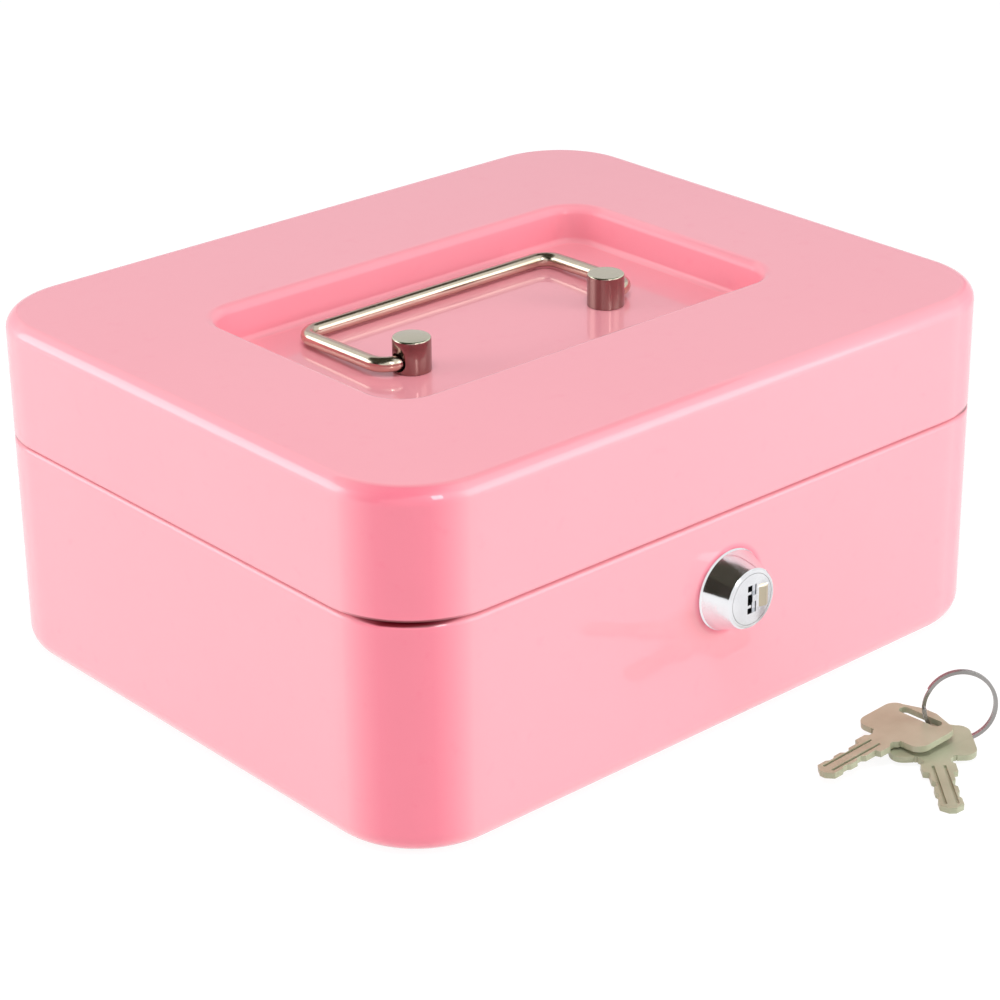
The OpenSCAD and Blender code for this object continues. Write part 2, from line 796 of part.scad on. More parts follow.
module coin_tray() {
    row_y = tray_front + tray_wall + cup_row;
    inner = tray_x - tray_wall;
    cup_pitch = (2 * tray_x - tray_wall) / cups;
    color(black) difference() {
        translate([0, 0, tray_z]) linear_extrude(tray_h) tray_outline();
        intersection() {
            union() {
                for (i = [0:cups - 1]) {
                    x0 = -inner + i * cup_pitch;
                    scooped_pocket(x0, x0 + cup_pitch - tray_wall, tray_front + tray_wall, row_y);
                }
                scooped_pocket(-inner, inner, row_y + tray_wall, tray_back - tray_wall);
            }
            translate([0, 0, tray_z]) linear_extrude(tray_h + 2) tray_outline(tray_wall);
        }
        for (side = [-1, 1])
            translate([side * tray_x, row_y - cup_row / 2, tray_top + grip_r / 4]) rotate([0, 90, 0])
                cylinder(r = grip_r, h = 3 * tray_wall, center = true);
    }
}

module ledge_section() {
    polygon([[inner_x, ledge_z], [inner_x - ledge_w, ledge_z], [inner_x - ledge_w, ledge_z - sheet],
        [inner_x - sheet, ledge_z - sheet], [inner_x - sheet, ledge_z - ledge_drop],
        [inner_x, ledge_z - ledge_drop]]);
}

module tray_ledge_right() {
    mid_y = (tray_front + tray_back) / 2;
    color(pink) translate([0, mid_y, 0]) rotate([90, 0, 0])
        linear_extrude(ledge_l, center = true) ledge_section();
}

module tray_ledge_left() {
    mirror([1, 0, 0]) tray_ledge_right();
}

// The cuts in a blade's two edges: [where, as a share of its length, depth]
cuts = [[0.36, 0.6], [0.69, 0.9]];
cut_mouth = 2.8;
cut_floor = 1.2;
tip_l = 1.4;
tip_half = blade_w / 7;
shoulder_half = bow_w / 5;
shoulder_slope = 0.4;
shoulder_cut = [bow_start - 2, 0.9];
bow_r = 3;

// A flat-bottomed notch of depth d in an edge at height y, around x
function notch(x, y, d) = [
    [x - cut_mouth / 2, y], [x - cut_floor / 2, y - d],
    [x + cut_floor / 2, y - d], [x + cut_mouth / 2, y]
];

// One side of a key's outline, from its tip to the middle of the bow's end
function key_side() = concat(
    [[0, tip_half], [tip_l, blade_w / 2]],
    notch(cuts[0][0] * blade_l, blade_w / 2, cuts[0][1]),
    notch(cuts[1][0] * blade_l, blade_w / 2, cuts[1][1]),
    [[blade_l, blade_w / 2], [blade_l + shoulder_slope, shoulder_half]],
    notch(shoulder_cut[0], shoulder_half, shoulder_cut[1]),
    arc(bow_start + bow_r, bow_w / 2 - bow_r, bow_r, 160, 90, 5),
    arc(key_l - 1.5 * bow_r, bow_w / 2 - bow_r, bow_r, 90, 20, 6),
    [[key_l, bow_w / 10]]
);

// The grooves along a blade: [middle across the blade, how many widths, face]
grooves = [[-0.31 * blade_w, 1, 1], [0.31 * blade_w, 1, 1], [0, 2, -1]];
groove_t = 0.7;
function groove_w(g) = g[1] * blade_w / 6;

// A key flat on the ground, its tip at the origin and its bow along +X
module key() {
    half = key_side();
    under = [for (i = [len(half) - 1:-1:0]) [half[i][0], -half[i][1]]];
    difference() {
        linear_extrude(key_t) difference() {
            polygon(concat(half, under));
            translate([reach, 0]) {
                square([slot_w, slot_l - slot_w], center = true);
                for (side = [-1, 1]) translate([0, side * (slot_l - slot_w) / 2]) circle(d = slot_w);
            }
        }
        for (g = grooves) translate([1.4, g[0] - groove_w(g) / 2, g[2] > 0 ? key_t - groove_t : groove_t - 1])
            cube([blade_l + 1.6, groove_w(g), 1]);
    }
}

// Height of the middle of a key's slot
function slot_z(pitch) = reach * sin(pitch) + key_t / 2;

// How far from its lowest point, along the ground, the ring reaches height z
function ring_run(z) = sqrt(pow(ring_mid, 2) - pow(ring_mid + ring_t / 2 - z, 2));

// Where the ring's wire passes height z, on the side towards the box
function ring_at(z) = [ring_x, ring_y] - ring_run(z) * [cos(ring_turn), sin(ring_turn)]
    + (z - ring_t / 2) * sin(ring_lean) * [-sin(ring_turn), cos(ring_turn)];

// The upper key lies on the lower one's bow: the wire crosses its slot short of the near end
module key_a() {
    mid = ring_at(key_a_rise + slot_z(key_a_pitch)) + [0, slot_l / 5.5];
    tip = mid - reach * cos(key_a_pitch) * [cos(key_a_turn), sin(key_a_turn)];
    color(brass) translate([tip[0], tip[1], key_a_rise + blade_w / 2 * sin(key_a_roll)])
        rotate([-key_a_roll, -key_a_pitch, key_a_turn]) key();
}

// The lower key: the ring's lowest part runs under the web beside its slot
module key_b() {
    along = [cos(key_b_turn), sin(key_b_turn)];
    across = [sin(key_b_turn), -cos(key_b_turn)];
    z = slot_z(key_b_pitch);
    mid = ring_at(z) - (slot_l / 2 + web / 2 - web_shift - ring_run(z)) * across;
    tip = mid - reach * cos(key_b_pitch) * along;
    color(brass) translate([tip[0], tip[1], 0]) rotate([0, -key_b_pitch, key_b_turn]) key();
}

// Two turns of flat wire, side by side with a fine groove between them
module key_ring() {
    outer = ring_d / 2;
    half = ring_w / 2;
    rest = outer * cos(ring_lean) + half * sin(ring_lean);
    color(zinc) translate([ring_x, ring_y, 0]) rotate(ring_turn)
        translate([0, ring_mid * sin(ring_lean), rest]) rotate([90 - ring_lean, 0, 0])
            rotate_extrude() difference() {
                translate([outer - ring_t, -half]) square([ring_t, ring_w]);
                translate([outer, 0]) rotate(45) square(0.15, center = true);
            }
}

base_shell();
lid_shell();
hinge_leaf_base();
hinge_leaf_lid();
hinge_pin();
hinge_rivets_base();
hinge_rivets_lid();
handle_post_left();
handle_post_right();
handle_bail();
handle_screws();
handle_washers();
lock_housing();
lock_plug();
lock_wafers();
wafer_springs();
lock_nut();
lock_washer();
stop_washer();
lock_cam();
cam_washer();
cam_screw();
lock_strike();
coin_tray();
tray_ledge_left();
tray_ledge_right();
key_a();
key_b();
key_ring();
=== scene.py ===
"""Dresses the steel cash box: enamelled shells, a bail handle on turned posts,
a cam lock, a coin tray and two keys on a split ring, in a plain white studio.

Sizes are in millimetres, in the part's own frame: X is the length, -Y the front
with the lock, Z is up, and the origin is on the ground below the closed box.
"""
from __future__ import annotations
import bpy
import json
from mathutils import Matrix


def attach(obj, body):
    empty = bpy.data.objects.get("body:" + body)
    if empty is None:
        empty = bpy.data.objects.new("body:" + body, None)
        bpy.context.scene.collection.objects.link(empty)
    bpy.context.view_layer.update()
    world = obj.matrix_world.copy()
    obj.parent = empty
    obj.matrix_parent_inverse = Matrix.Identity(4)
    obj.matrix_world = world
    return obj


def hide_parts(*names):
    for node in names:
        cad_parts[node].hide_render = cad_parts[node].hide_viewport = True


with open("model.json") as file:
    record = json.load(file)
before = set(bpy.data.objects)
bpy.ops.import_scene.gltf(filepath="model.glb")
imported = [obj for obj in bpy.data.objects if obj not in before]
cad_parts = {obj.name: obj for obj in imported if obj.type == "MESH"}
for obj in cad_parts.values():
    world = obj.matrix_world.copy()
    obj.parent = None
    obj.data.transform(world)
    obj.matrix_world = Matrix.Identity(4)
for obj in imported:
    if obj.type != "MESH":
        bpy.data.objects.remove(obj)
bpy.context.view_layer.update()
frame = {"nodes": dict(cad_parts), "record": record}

import json
import logging
import math
from contextlib import contextmanager
from dataclasses import dataclass
from enum import Enum
from typing import Any, Callable, Iterator, Mapping, Sequence

import bmesh
import bpy
from mathutils import Matrix, Vector

log = logging.getLogger("cash_box")

MM = 0.001
WHITE = (1.0, 1.0, 1.0)
SQUARELY = 0.9999

Piece = bpy.types.Object
Pair = tuple[float, float]
Colour = tuple[float, float, float]
Point = tuple[float, float, float]


class Pick(Enum):
    """What a pick in edit mode selects."""

    EDGES = "EDGE"
    FACES = "FACE"


class Body(Enum):
    """The bodies of the part that pieces ride on."""

    BASE = "base"
    LID = "lid"
    BAIL = "bail"
    KEYS = "keys"


def arc(cx: float, cy: float, r: float, a0: float, a1: float, n: int) -> list[Pair]:
    """The n + 1 points of an arc round (cx, cy), from a0 to a1 degrees."""
    turns = [math.radians(a0 + (a1 - a0) * i / n) for i in range(n + 1)]
    return [(cx + r * math.cos(t), cy + r * math.sin(t)) for t in turns]


def turn(degrees: float, axis: str) -> Matrix:
    """A turn about one of the axes."""
    return Matrix.Rotation(math.radians(degrees), 4, axis)


def upright(edge: bmesh.types.BMEdge) -> bool:
    """Whether an edge rises by more than a millimetre."""
    return abs((edge.verts[0].co - edge.verts[1].co).z) > 1


def facing(axis: str, side: float, least: float = 0.99) -> Callable[[Any], bool]:
    """A test for faces that look along an axis (side 1) or against it (side -1)."""
    return lambda face: getattr(face.normal, axis) * side > least


class Bench:
    """Blender's own modelling tools, used on one piece at a time, in millimetres.

    Edges sharper than the angle sharp, in degrees, stay hard in a finished piece.
    """

    sharp = 40

    @staticmethod
    def clear() -> None:
        """Leaves nothing selected, in object mode."""
        if bpy.context.mode != "OBJECT":
            bpy.ops.object.mode_set(mode="OBJECT")
        bpy.ops.object.select_all(action="DESELECT")

    @staticmethod
    def take(*pieces: Piece) -> None:
        """Selects these pieces alone and makes the first the active one."""
        Bench.clear()
        for piece in pieces:
            piece.select_set(True)
        bpy.context.view_layer.objects.active = pieces[0]

    @staticmethod
    @contextmanager
    def editing(piece: Piece) -> Iterator[None]:
        """Opens a piece in edit mode with nothing selected, and closes it again."""
        Bench.take(piece)
        bpy.ops.object.mode_set(mode="EDIT")
        bpy.ops.mesh.select_mode(type=Pick.FACES.value)
        bpy.ops.mesh.select_all(action="DESELECT")
        yield
        bpy.ops.object.mode_set(mode="OBJECT")

    @staticmethod
    def pick(piece: Piece, kind: Pick, test: Callable[[Any], bool]) -> int:
        """Selects the faces or edges that pass a test, in edit mode.

        Args:
            piece: The piece in edit mode.
            kind: What is selected.
            test: Says of one face or edge whether it is wanted.

        Returns:
            How many were selected.
        """
        bpy.ops.mesh.select_mode(type=kind.value)
        bpy.ops.mesh.select_all(action="DESELECT")
        mesh = bmesh.from_edit_mesh(piece.data)
        mesh.normal_update()
        parts = mesh.edges if kind is Pick.EDGES else mesh.faces
        wanted = [item for item in parts if test(item)]
        for item in wanted:
            item.select_set(True)
        mesh.select_flush_mode()
        bmesh.update_edit_mesh(piece.data)
        return len(wanted)

    @staticmethod
    def everything() -> None:
        """Selects the whole mesh, in edit mode."""
        bpy.ops.mesh.select_all(action="SELECT")

    @staticmethod
    def named(name: str) -> Piece:
        """Gives the piece that was just added its name, and returns it."""
        piece = bpy.context.active_object
        piece.name = piece.data.name = name
        return piece

    @staticmethod
    def block(name: str, low: Point, high: Point) -> Piece:
        """Adds a cube and stretches it between its lowest and its highest corner."""
        Bench.clear()
        middle = [(a + b) / 2 for a, b in zip(low, high)]
        bpy.ops.mesh.primitive_cube_add(size=1, location=middle)
        piece = Bench.named(name)
        with Bench.editing(piece):
            Bench.everything()
            bpy.ops.transform.resize(
                value=[b - a for a, b in zip(low, high)], center_override=middle
            )
        Bench.apply_place(piece)
        return piece

    @staticmethod
    def turned(name: str, profile: Sequence[Pair], sides: int) -> Piece:
        """Turns a piece about Z: a circle drawn up ring by ring, its ends filled.

        Args:
            name: Name of the new piece.
            profile: Radius and height of each ring, from the first to the last.
            sides: Number of steps round the axis.

        Returns:
            The new piece.
        """
        Bench.clear()
        (radius, height), *rest = profile
        bpy.ops.mesh.primitive_circle_add(
            vertices=sides, radius=radius, location=(0, 0, height), fill_type="NOTHING"
        )
        piece = Bench.named(name)
        Bench.apply_place(piece)
        with Bench.editing(piece):
            bpy.ops.mesh.select_mode(type=Pick.EDGES.value)
            Bench.everything()
            for next_radius, next_height in rest:
                bpy.ops.mesh.extrude_region_move(
                    TRANSFORM_OT_translate={"value": (0, 0, next_height - height)}
                )
                share = next_radius / radius
                bpy.ops.transform.resize(
                    value=(share, share, 1), center_override=(0, 0, next_height)
                )
                radius, height = next_radius, next_height
            Bench.close(piece)
        return piece

    @staticmethod
    def close(piece: Piece) -> None:
        """Merges doubles, fills open ends and turns the faces outwards, in edit mode."""
        Bench.everything()
        bpy.ops.mesh.remove_doubles(threshold=1e-4)
        if Bench.pick(piece, Pick.EDGES, lambda e: e.is_boundary):
            bpy.ops.mesh.fill_holes(sides=0)
        Bench.everything()
        bpy.ops.mesh.normals_make_consistent(inside=False)

    @staticmethod
    def draw_in(steps: Sequence[Pair], start: Pair) -> None:
        """Insets the selected face step by step along a profile, in edit mode.

        Args:
            steps: How far out and how high each new edge lies.
            start: The same for the face's own edge.
        """
        out, height = start
        for next_out, next_height in steps:
            bpy.ops.mesh.inset(
                thickness=out - next_out, depth=next_height - height, use_even_offset=True
            )
            out, height = next_out, next_height

    @staticmethod
    def pull(by: Point, scale: Point = (1, 1, 1), about: Point = (0, 0, 0)) -> None:
        """Extrudes what is selected, then scales the new end about a point, in edit mode."""
        bpy.ops.mesh.extrude_region_move(TRANSFORM_OT_translate={"value": by})
        if scale != (1, 1, 1):
            bpy.ops.transform.resize(value=scale, center_override=about)

    @staticmethod
    def bevel(offset: float, segments: int, affect: str = "EDGES") -> None:
        """Rounds the selected edges or vertices, in edit mode."""
        bpy.ops.mesh.bevel(
            offset=offset, segments=segments, profile=0.5, affect=affect, clamp_overlap=False
        )

    @staticmethod
    def sweep(steps: int, degrees: float, centre: Point = (0, 0, 0)) -> None:
        """Carries what is selected round an upright axis, in edit mode."""
        bpy.ops.mesh.spin(
            steps=steps, angle=math.radians(degrees), center=centre, axis=(0, 0, 1), dupli=False
        )

    @staticmethod
    def modify(piece: Piece, kind: str, **settings: Any) -> None:
        """Adds one modifier with its settings and applies it."""
        Bench.take(piece)
        made = piece.modifiers.new(kind.title(), kind)
        for key, value in settings.items():
            setattr(made, key, value)
        bpy.ops.object.modifier_apply(modifier=made.name)

    @staticmethod
    def cut(piece: Piece, tools: Sequence[Piece]) -> None:
        """Cuts closed tools out of a piece and removes them."""
        for tool in tools:
            Bench.modify(piece, "BOOLEAN", object=tool, solver="EXACT", operation="DIFFERENCE")
            bpy.data.objects.remove(tool)

    @staticmethod
    def apply_place(piece: Piece) -> None:
        """Puts a piece's place, turn and scale into its mesh."""
        Bench.take(piece)
        bpy.ops.object.transform_apply(location=True, rotation=True, scale=True)

    @staticmethod
    def put(piece: Piece, place: Matrix) -> None:
        """Moves a piece by a matrix in millimetres and applies it."""
        piece.matrix_world = place @ piece.matrix_world
        bpy.context.view_layer.update()
        Bench.apply_place(piece)

    @staticmethod
    def edge_round(piece: Piece, width: float, angle: float) -> None:
        """Rounds every edge that is sharper than an angle in degrees."""
        Bench.modify(
            piece, "BEVEL", width=width, segments=2, limit_method="ANGLE",
            angle_limit=math.radians(angle), miter_outer="MITER_ARC", harden_normals=False,
        )

    @staticmethod
    def finish(piece: Piece) -> None:
        """Shrinks a piece from millimetres to metres and smooths its shading."""
        Bench.put(piece, Matrix.Scale(MM, 4))
        Bench.take(piece)
        bpy.ops.object.shade_smooth_by_angle(angle=math.radians(Bench.sharp))
        Bench.modify(piece, "WEIGHTED_NORMAL", mode="FACE_AREA", weight=60, keep_sharp=True)
        log.info("%s: %d faces", piece.name, len(piece.data.polygons))

    @staticmethod
    def twin(piece: Piece, name: str, place: Matrix) -> Piece:
        """Copies a piece with its own mesh, moves the copy by a matrix and returns it."""
        Bench.take(piece)
        bpy.ops.object.duplicate(linked=False)
        copy = Bench.named(name)
        Bench.put(copy, place)
        if place.determinant() < 0:
            with Bench.editing(copy):
                Bench.everything()
                bpy.ops.mesh.flip_normals()
        return copy


def operator(operation: str, swapped: bool = False) -> Callable[..., "Wire"]:
    """Makes a method of Wire: a Math node on self and another value, or on the two swapped."""
    def apply(self: "Wire", other: Any = 0.0) -> "Wire":
        """Adds the Math node."""
        a, b = (other, self) if swapped else (self, other)
        return self.tree.add("ShaderNodeMath", {"operation": operation}, {0: a, 1: b})

    return apply


class Wire:
    """One socket of a node tree that can be used in sums, as a number can."""

    def __init__(self, tree: "Graph", socket: bpy.types.NodeSocket) -> None:
        """Keeps the tree that new Math nodes go into, and the socket."""
        self.tree = tree
        self.socket = socket

    __add__ = operator("ADD")
    __radd__ = operator("ADD", swapped=True)
    __sub__ = operator("SUBTRACT")
    __rsub__ = operator("SUBTRACT", swapped=True)
    __mul__ = operator("MULTIPLY")
    __rmul__ = operator("MULTIPLY", swapped=True)
    __pow__ = operator("POWER")
    __abs__ = operator("ABSOLUTE")
    larger = operator("MAXIMUM")
    smaller = operator("MINIMUM")


class Graph:
    """A node tree, with one generic method that adds a node."""

    def __init__(self, tree: bpy.types.NodeTree) -> None:
        """Keeps the tree's nodes and links."""
        self.nodes = tree.nodes
        self.links = tree.links

    def add(
        self,
        kind: str,
        settings: Mapping[str, Any] | None = None,
        inputs: Mapping[int | str, Any] | None = None,
        out: int | str = 0,
    ) -> Wire:
        """Adds one node.

        Args:
            kind: The node's type.
            settings: Its own settings.
            inputs: Values or wires of its input sockets.
            out: The output that is wanted.

        Returns:
            That output.
        """
        node = self.nodes.new(kind)
        for key, value in (settings or {}).items():
            setattr(node, key, value)
        for key, value in (inputs or {}).items():
            self.feed(node.inputs[key], value)
        return Wire(self, node.outputs[out])

    def feed(self, socket: bpy.types.NodeSocket, value: Any) -> None:
        """Links a wire to a socket, or sets the socket's value."""
        if isinstance(value, Wire):
            self.links.new(value.socket, socket)
        elif isinstance(value, tuple) and len(socket.default_value) == 4:
            socket.default_value = (*value, 1)
        else:
            socket.default_value = value

    def seen(self) -> Wire:
        """1 for rays from the camera, from gloss or through glass, else 0."""
        camera, gloss, glass = (
            self.add("ShaderNodeLightPath", out=f"Is {kind} Ray")
            for kind in ("Camera", "Glossy", "Transmission")
        )
        return (camera + gloss + glass).smaller(1.0)

    def show(self, shader: Wire, output: bpy.types.Node) -> None:
        """Links a shader to the tree's output node."""
        self.links.new(shader.socket, output.inputs["Surface"])


class Recipe(Graph):
    """One material's node tree around its Principled shader."""

    def __init__(self, name: str, **constants: Any) -> None:
        """Makes the material and sets its shader's constant sockets.

        Args:
            name: Name of the material.
            constants: Values of the shader's sockets, with _ for each space.
        """
        self.material = bpy.data.materials.new(name)
        self.material.use_nodes = True
        super().__init__(self.material.node_tree)
        self.shader = self.nodes["Principled BSDF"]
        self.set(**constants)

    def set(self, **inputs: Any) -> None:
        """Feeds the shader's sockets with values or wires."""
        for key, value in inputs.items():
            self.feed(self.shader.inputs[key.replace("_", " ")], value)

    def place(self, scale: Point) -> Wire:
        """The point on the piece, in metres, stretched by a scale."""
        here = self.add("ShaderNodeTexCoord", out="Object")
        return self.add("ShaderNodeMapping", {}, {"Vector": here, "Scale": scale})

    def xyz(self) -> tuple[Wire, Wire, Wire]:
        """The three coordinates of the point on the piece, in millimetres."""
        here = self.place((1 / MM, 1 / MM, 1 / MM))
        x, y, z = (self.add("ShaderNodeSeparateXYZ", {}, {0: here}, out=axis) for axis in "XYZ")
        return x, y, z

    def noise(self, scale: float, detail: float = 2, stretch: Point = (1, 1, 1)) -> Wire:
        """Noise from 0 to 1 with this many blots to a metre."""
        return self.add(
            "ShaderNodeTexNoise", {},
            {"Vector": self.place(stretch), "Scale": scale, "Detail": detail},
        )

    def ramp(self, value: Wire, low: float, high: float) -> Wire:
        """Stretches the part of a value between low and high to 0..1."""
        return self.add(
            "ShaderNodeMapRange", {}, {"Value": value, "From Min": low, "From Max": high}
        )

    def blend(self, share: Any, a: Any, b: Any) -> Wire:
        """Mixes two colours, a where share is 0 and b where it is 1."""
        return self.add(
            "ShaderNodeMix", {"data_type": "RGBA"}, {0: share, 6: a, 7: b}, out=2
        )

    def bump(self, height: Wire, depth: float, below: Wire | None = None) -> Wire:
        """A bumped normal from a height; depth is in millimetres."""
        inputs: dict[int | str, Any] = {"Height": height, "Distance": depth * MM, "Strength": 1.0}
        if below is not None:
            inputs["Normal"] = below
        return self.add("ShaderNodeBump", {}, inputs)


@dataclass(frozen=True)
class Enamel:
    """Glossy baked enamel over sheet steel, with painted shade: deeper down the upright corners,
    on the pan walls, on the rolled top edge and round the lock, and a painted shadow in the seam.

    The lengths are in millimetres. A pair named ..._ramp goes from where a mask
    begins to where it is full.
    """

    name: str = "pink_enamel"
    colour: Colour = (0.935, 0.355, 0.415)
    # deep: a deeper pink, used for random specks and for the painted shade
    deep: Colour = (0.890, 0.180, 0.265)
    # the colour of the painted shadow in the seam
    seam_shadow_colour: Colour = (0.20, 0.006, 0.016)
    pale: Colour = (0.950, 0.375, 0.435)
    roughness: float = 0.34
    coat_roughness: float = 0.035
    core: Pair = (76, 58.5)
    corner: float = 24
    corner_ramp: Pair = (0.28, 0.88)
    side_ramp: Pair = (0.02, 0.3)
    top: float = 90
    pan: Pair = (66, 42)
    pan_ramp: Pair = (0.0, 2.0)
    pan_foot_ramp: Pair = (9.2, 8.0)
    pan_rim_ramp: Pair = (0.0, 2.4)
    roll_foot_ramp: Pair = (2.2, 1.4)
    roll_head_ramp: Pair = (0.02, 0.25)
    roll_share: float = 0.12
    roll_corner_share: float = 0.75
    lock_z: float = 38.5
    lock_ramp: Pair = (11.6, 10.2)
    front_ramp: Pair = (-80, -81)
    seam: Pair = (58.3, 59.7)
    seam_low_ramp: Pair = (0.2, 0.5)
    seam_high_ramp: Pair = (0.0, 0.3)
    seam_side_share: float = 0.15
    seam_widening: float = 0.9

    def _corner_shade(self, recipe: Recipe) -> Wire:
        """Painted shade: 1 down the middle of each upright corner, where the colour is drawn
        deeper.
        """
        *plan, z = recipe.xyz()
        out_x, out_y = (
            recipe.ramp((abs(way) - core) * (1 / self.corner), 0.0, 1.0)
            for way, core in zip(plan, self.core)
        )
        side = recipe.ramp(self.top - z, *self.side_ramp)
        return side * recipe.ramp(2 * out_x * out_y, *self.corner_ramp)

    def _pan_wall(self, recipe: Recipe) -> Wire:
        """1 on the walls of the lid's pan and over their rims, where the colour is drawn deeper as
        painted shade and the coat is thinner and rougher.
        """
        *plan, z = recipe.xyz()
        in_x, in_y = (
            recipe.ramp(half - abs(way), *self.pan_ramp) for way, half in zip(plan, self.pan)
        )
        below = self.top - z
        foot = recipe.ramp(below, *self.pan_foot_ramp)
        return foot * recipe.ramp(below, *self.pan_rim_ramp) * in_x * in_y

    def _rim_shade(self, recipe: Recipe, corner_shade: Wire) -> Wire:
        """Painted shade: deeper colour on the rolled top edge, most round the corners, and a
        painted shadow round the lock.
        """
        x, y, z = recipe.xyz()
        below = self.top - z
        roll = recipe.ramp(below, *self.roll_foot_ramp) * recipe.ramp(below, *self.roll_head_ramp)
        rise = z - self.lock_z
        away = (x * x + rise * rise) ** 0.5
        ring = recipe.ramp(away, *self.lock_ramp) * recipe.ramp(y, *self.front_ramp)
        return (roll * (self.roll_share + corner_shade * self.roll_corner_share)).larger(ring)

    def _seam_shadow(self, recipe: Recipe, corner_shade: Wire) -> Wire:
        """Painted shadow: the dark line where the lid meets the base, wider round the corners."""
        low, high = self.seam
        z = recipe.xyz()[2]
        lower = recipe.ramp(z - low + corner_shade * self.seam_widening, *self.seam_low_ramp)
        upper = recipe.ramp(high - z, *self.seam_high_ramp)
        side = self.seam_side_share
        return lower * upper * (side + corner_shade * (1 - side))

    def make(self) -> bpy.types.Material:
        """Builds the material: soft clouds of colour, faint flow marks, orange peel, the painted
        shade and the painted seam shadow.
        """
        recipe = Recipe(
            self.name, Coat_Roughness=self.coat_roughness, Coat_IOR=1.5, IOR=1.45, Metallic=0.0
        )
        clouds = recipe.ramp(recipe.noise(14, 3), 0.3, 0.7)
        fine = recipe.noise(240, 4)
        specks = recipe.ramp(fine, 0.62, 0.80)
        corner_shade, wall = self._corner_shade(recipe), self._pan_wall(recipe)
        # Painted shade: deeper colour down the upright corners, on the pan walls and from the rim
        # shade; the specks are random tone.
        share = (specks * 0.10 + corner_shade * 0.85 + wall * 0.43).larger(self._rim_shade(recipe, corner_shade))
        colour = recipe.blend(clouds * 0.55, self.colour, self.pale)
        colour = recipe.blend(share, colour, self.deep)
        # Painted shadow: the dark line in the seam between lid and base.
        colour = recipe.blend(self._seam_shadow(recipe, corner_shade), colour, self.seam_shadow_colour)
        recipe.set(
            Base_Color=colour,
            Coat_Weight=1.0 - wall * 0.9,
            Roughness=self.roughness + fine * 0.06 + wall * 0.25,
            Normal=recipe.bump(
                recipe.noise(620, 1), 0.006, recipe.bump(recipe.noise(70, 2), 0.02)
            ),
        )
        return recipe.material


@dataclass(frozen=True)
class ColourBlock:
    """Another colour laid on a metal within a block of space, mirrored in X: a painted reflection
    or shade, or a part's own colour.

    The lengths are in millimetres; edge is how softly the block ends.
    """

    colour: Colour
    low: Point
    high: Point
    edge: float = 0.1

    def over(self, recipe: Recipe, colour: Wire) -> Wire:
        """Blends the block's colour over a colour inside the block."""
        x, y, z = recipe.xyz()
        share: Any = 1.0
        for way, low, high in zip((abs(x), y, z), self.low, self.high):
            share = recipe.ramp(way - low, 0.0, self.edge) * share
            share = recipe.ramp(high - way, 0.0, self.edge) * share
        return recipe.blend(share, colour, self.colour)


@dataclass(frozen=True)
class Metal:
    """A polished or plated metal with fine marks from the wheel and from handling."""

    name: str
    colour: Colour
    dull: Colour
    roughness: float
    grain: float = 2600
    stretch: Point = (1, 1, 1)
    marks: float = 0.004
    smudge: float = 0.10
    metallic: Pair = (1.0, 1.0)
    colour_blocks: tuple[ColourBlock, ...] = ()

    def make(self) -> bpy.types.Material:
        """Builds the material: wheel marks along one way, smudges and hairlines."""
        recipe = Recipe(self.name, IOR=1.5)
        smear = recipe.ramp(recipe.noise(90, 4), 0.35, 0.75)
        lines = recipe.noise(self.grain, 3, self.stretch)
        scratch = recipe.ramp(recipe.noise(900, 2, (0.08, 1, 1)), 0.60, 0.72)
        colour = recipe.blend(smear * 0.7 + scratch * 0.15, self.colour, self.dull)
        # Colour blocks: painted reflection and shade on the handle's posts, the nub's own colour
        # on the lock.
        for colour_block in self.colour_blocks:
            colour = colour_block.over(recipe, colour)
        low, high = self.metallic
        recipe.set(
            Base_Color=colour,
            Metallic=low + smear * (high - low),
            Roughness=self.roughness + smear * self.smudge + lines * 0.06,
            Normal=recipe.bump(lines + scratch * 0.4, self.marks),
        )
        return recipe.material


@dataclass(frozen=True)
class Moulding:
    """Black moulded plastic with a fine spark-eroded grain and rubbed ribs."""

    name: str = "tray_plastic"
    colour: Colour = (0.017, 0.017, 0.019)
    rubbed: Colour = (0.045, 0.045, 0.048)

    def make(self) -> bpy.types.Material:
        """Builds the material."""
        recipe = Recipe(self.name, IOR=1.49)
        grain = recipe.noise(2200, 3)
        rub = recipe.ramp(recipe.noise(45, 4), 0.50, 0.78)
        recipe.set(
            Base_Color=recipe.blend(rub * 0.6, self.colour, self.rubbed),
            Roughness=0.46 - rub * 0.10 + grain * 0.10,
            Normal=recipe.bump(grain, 0.03),
        )
        return recipe.material


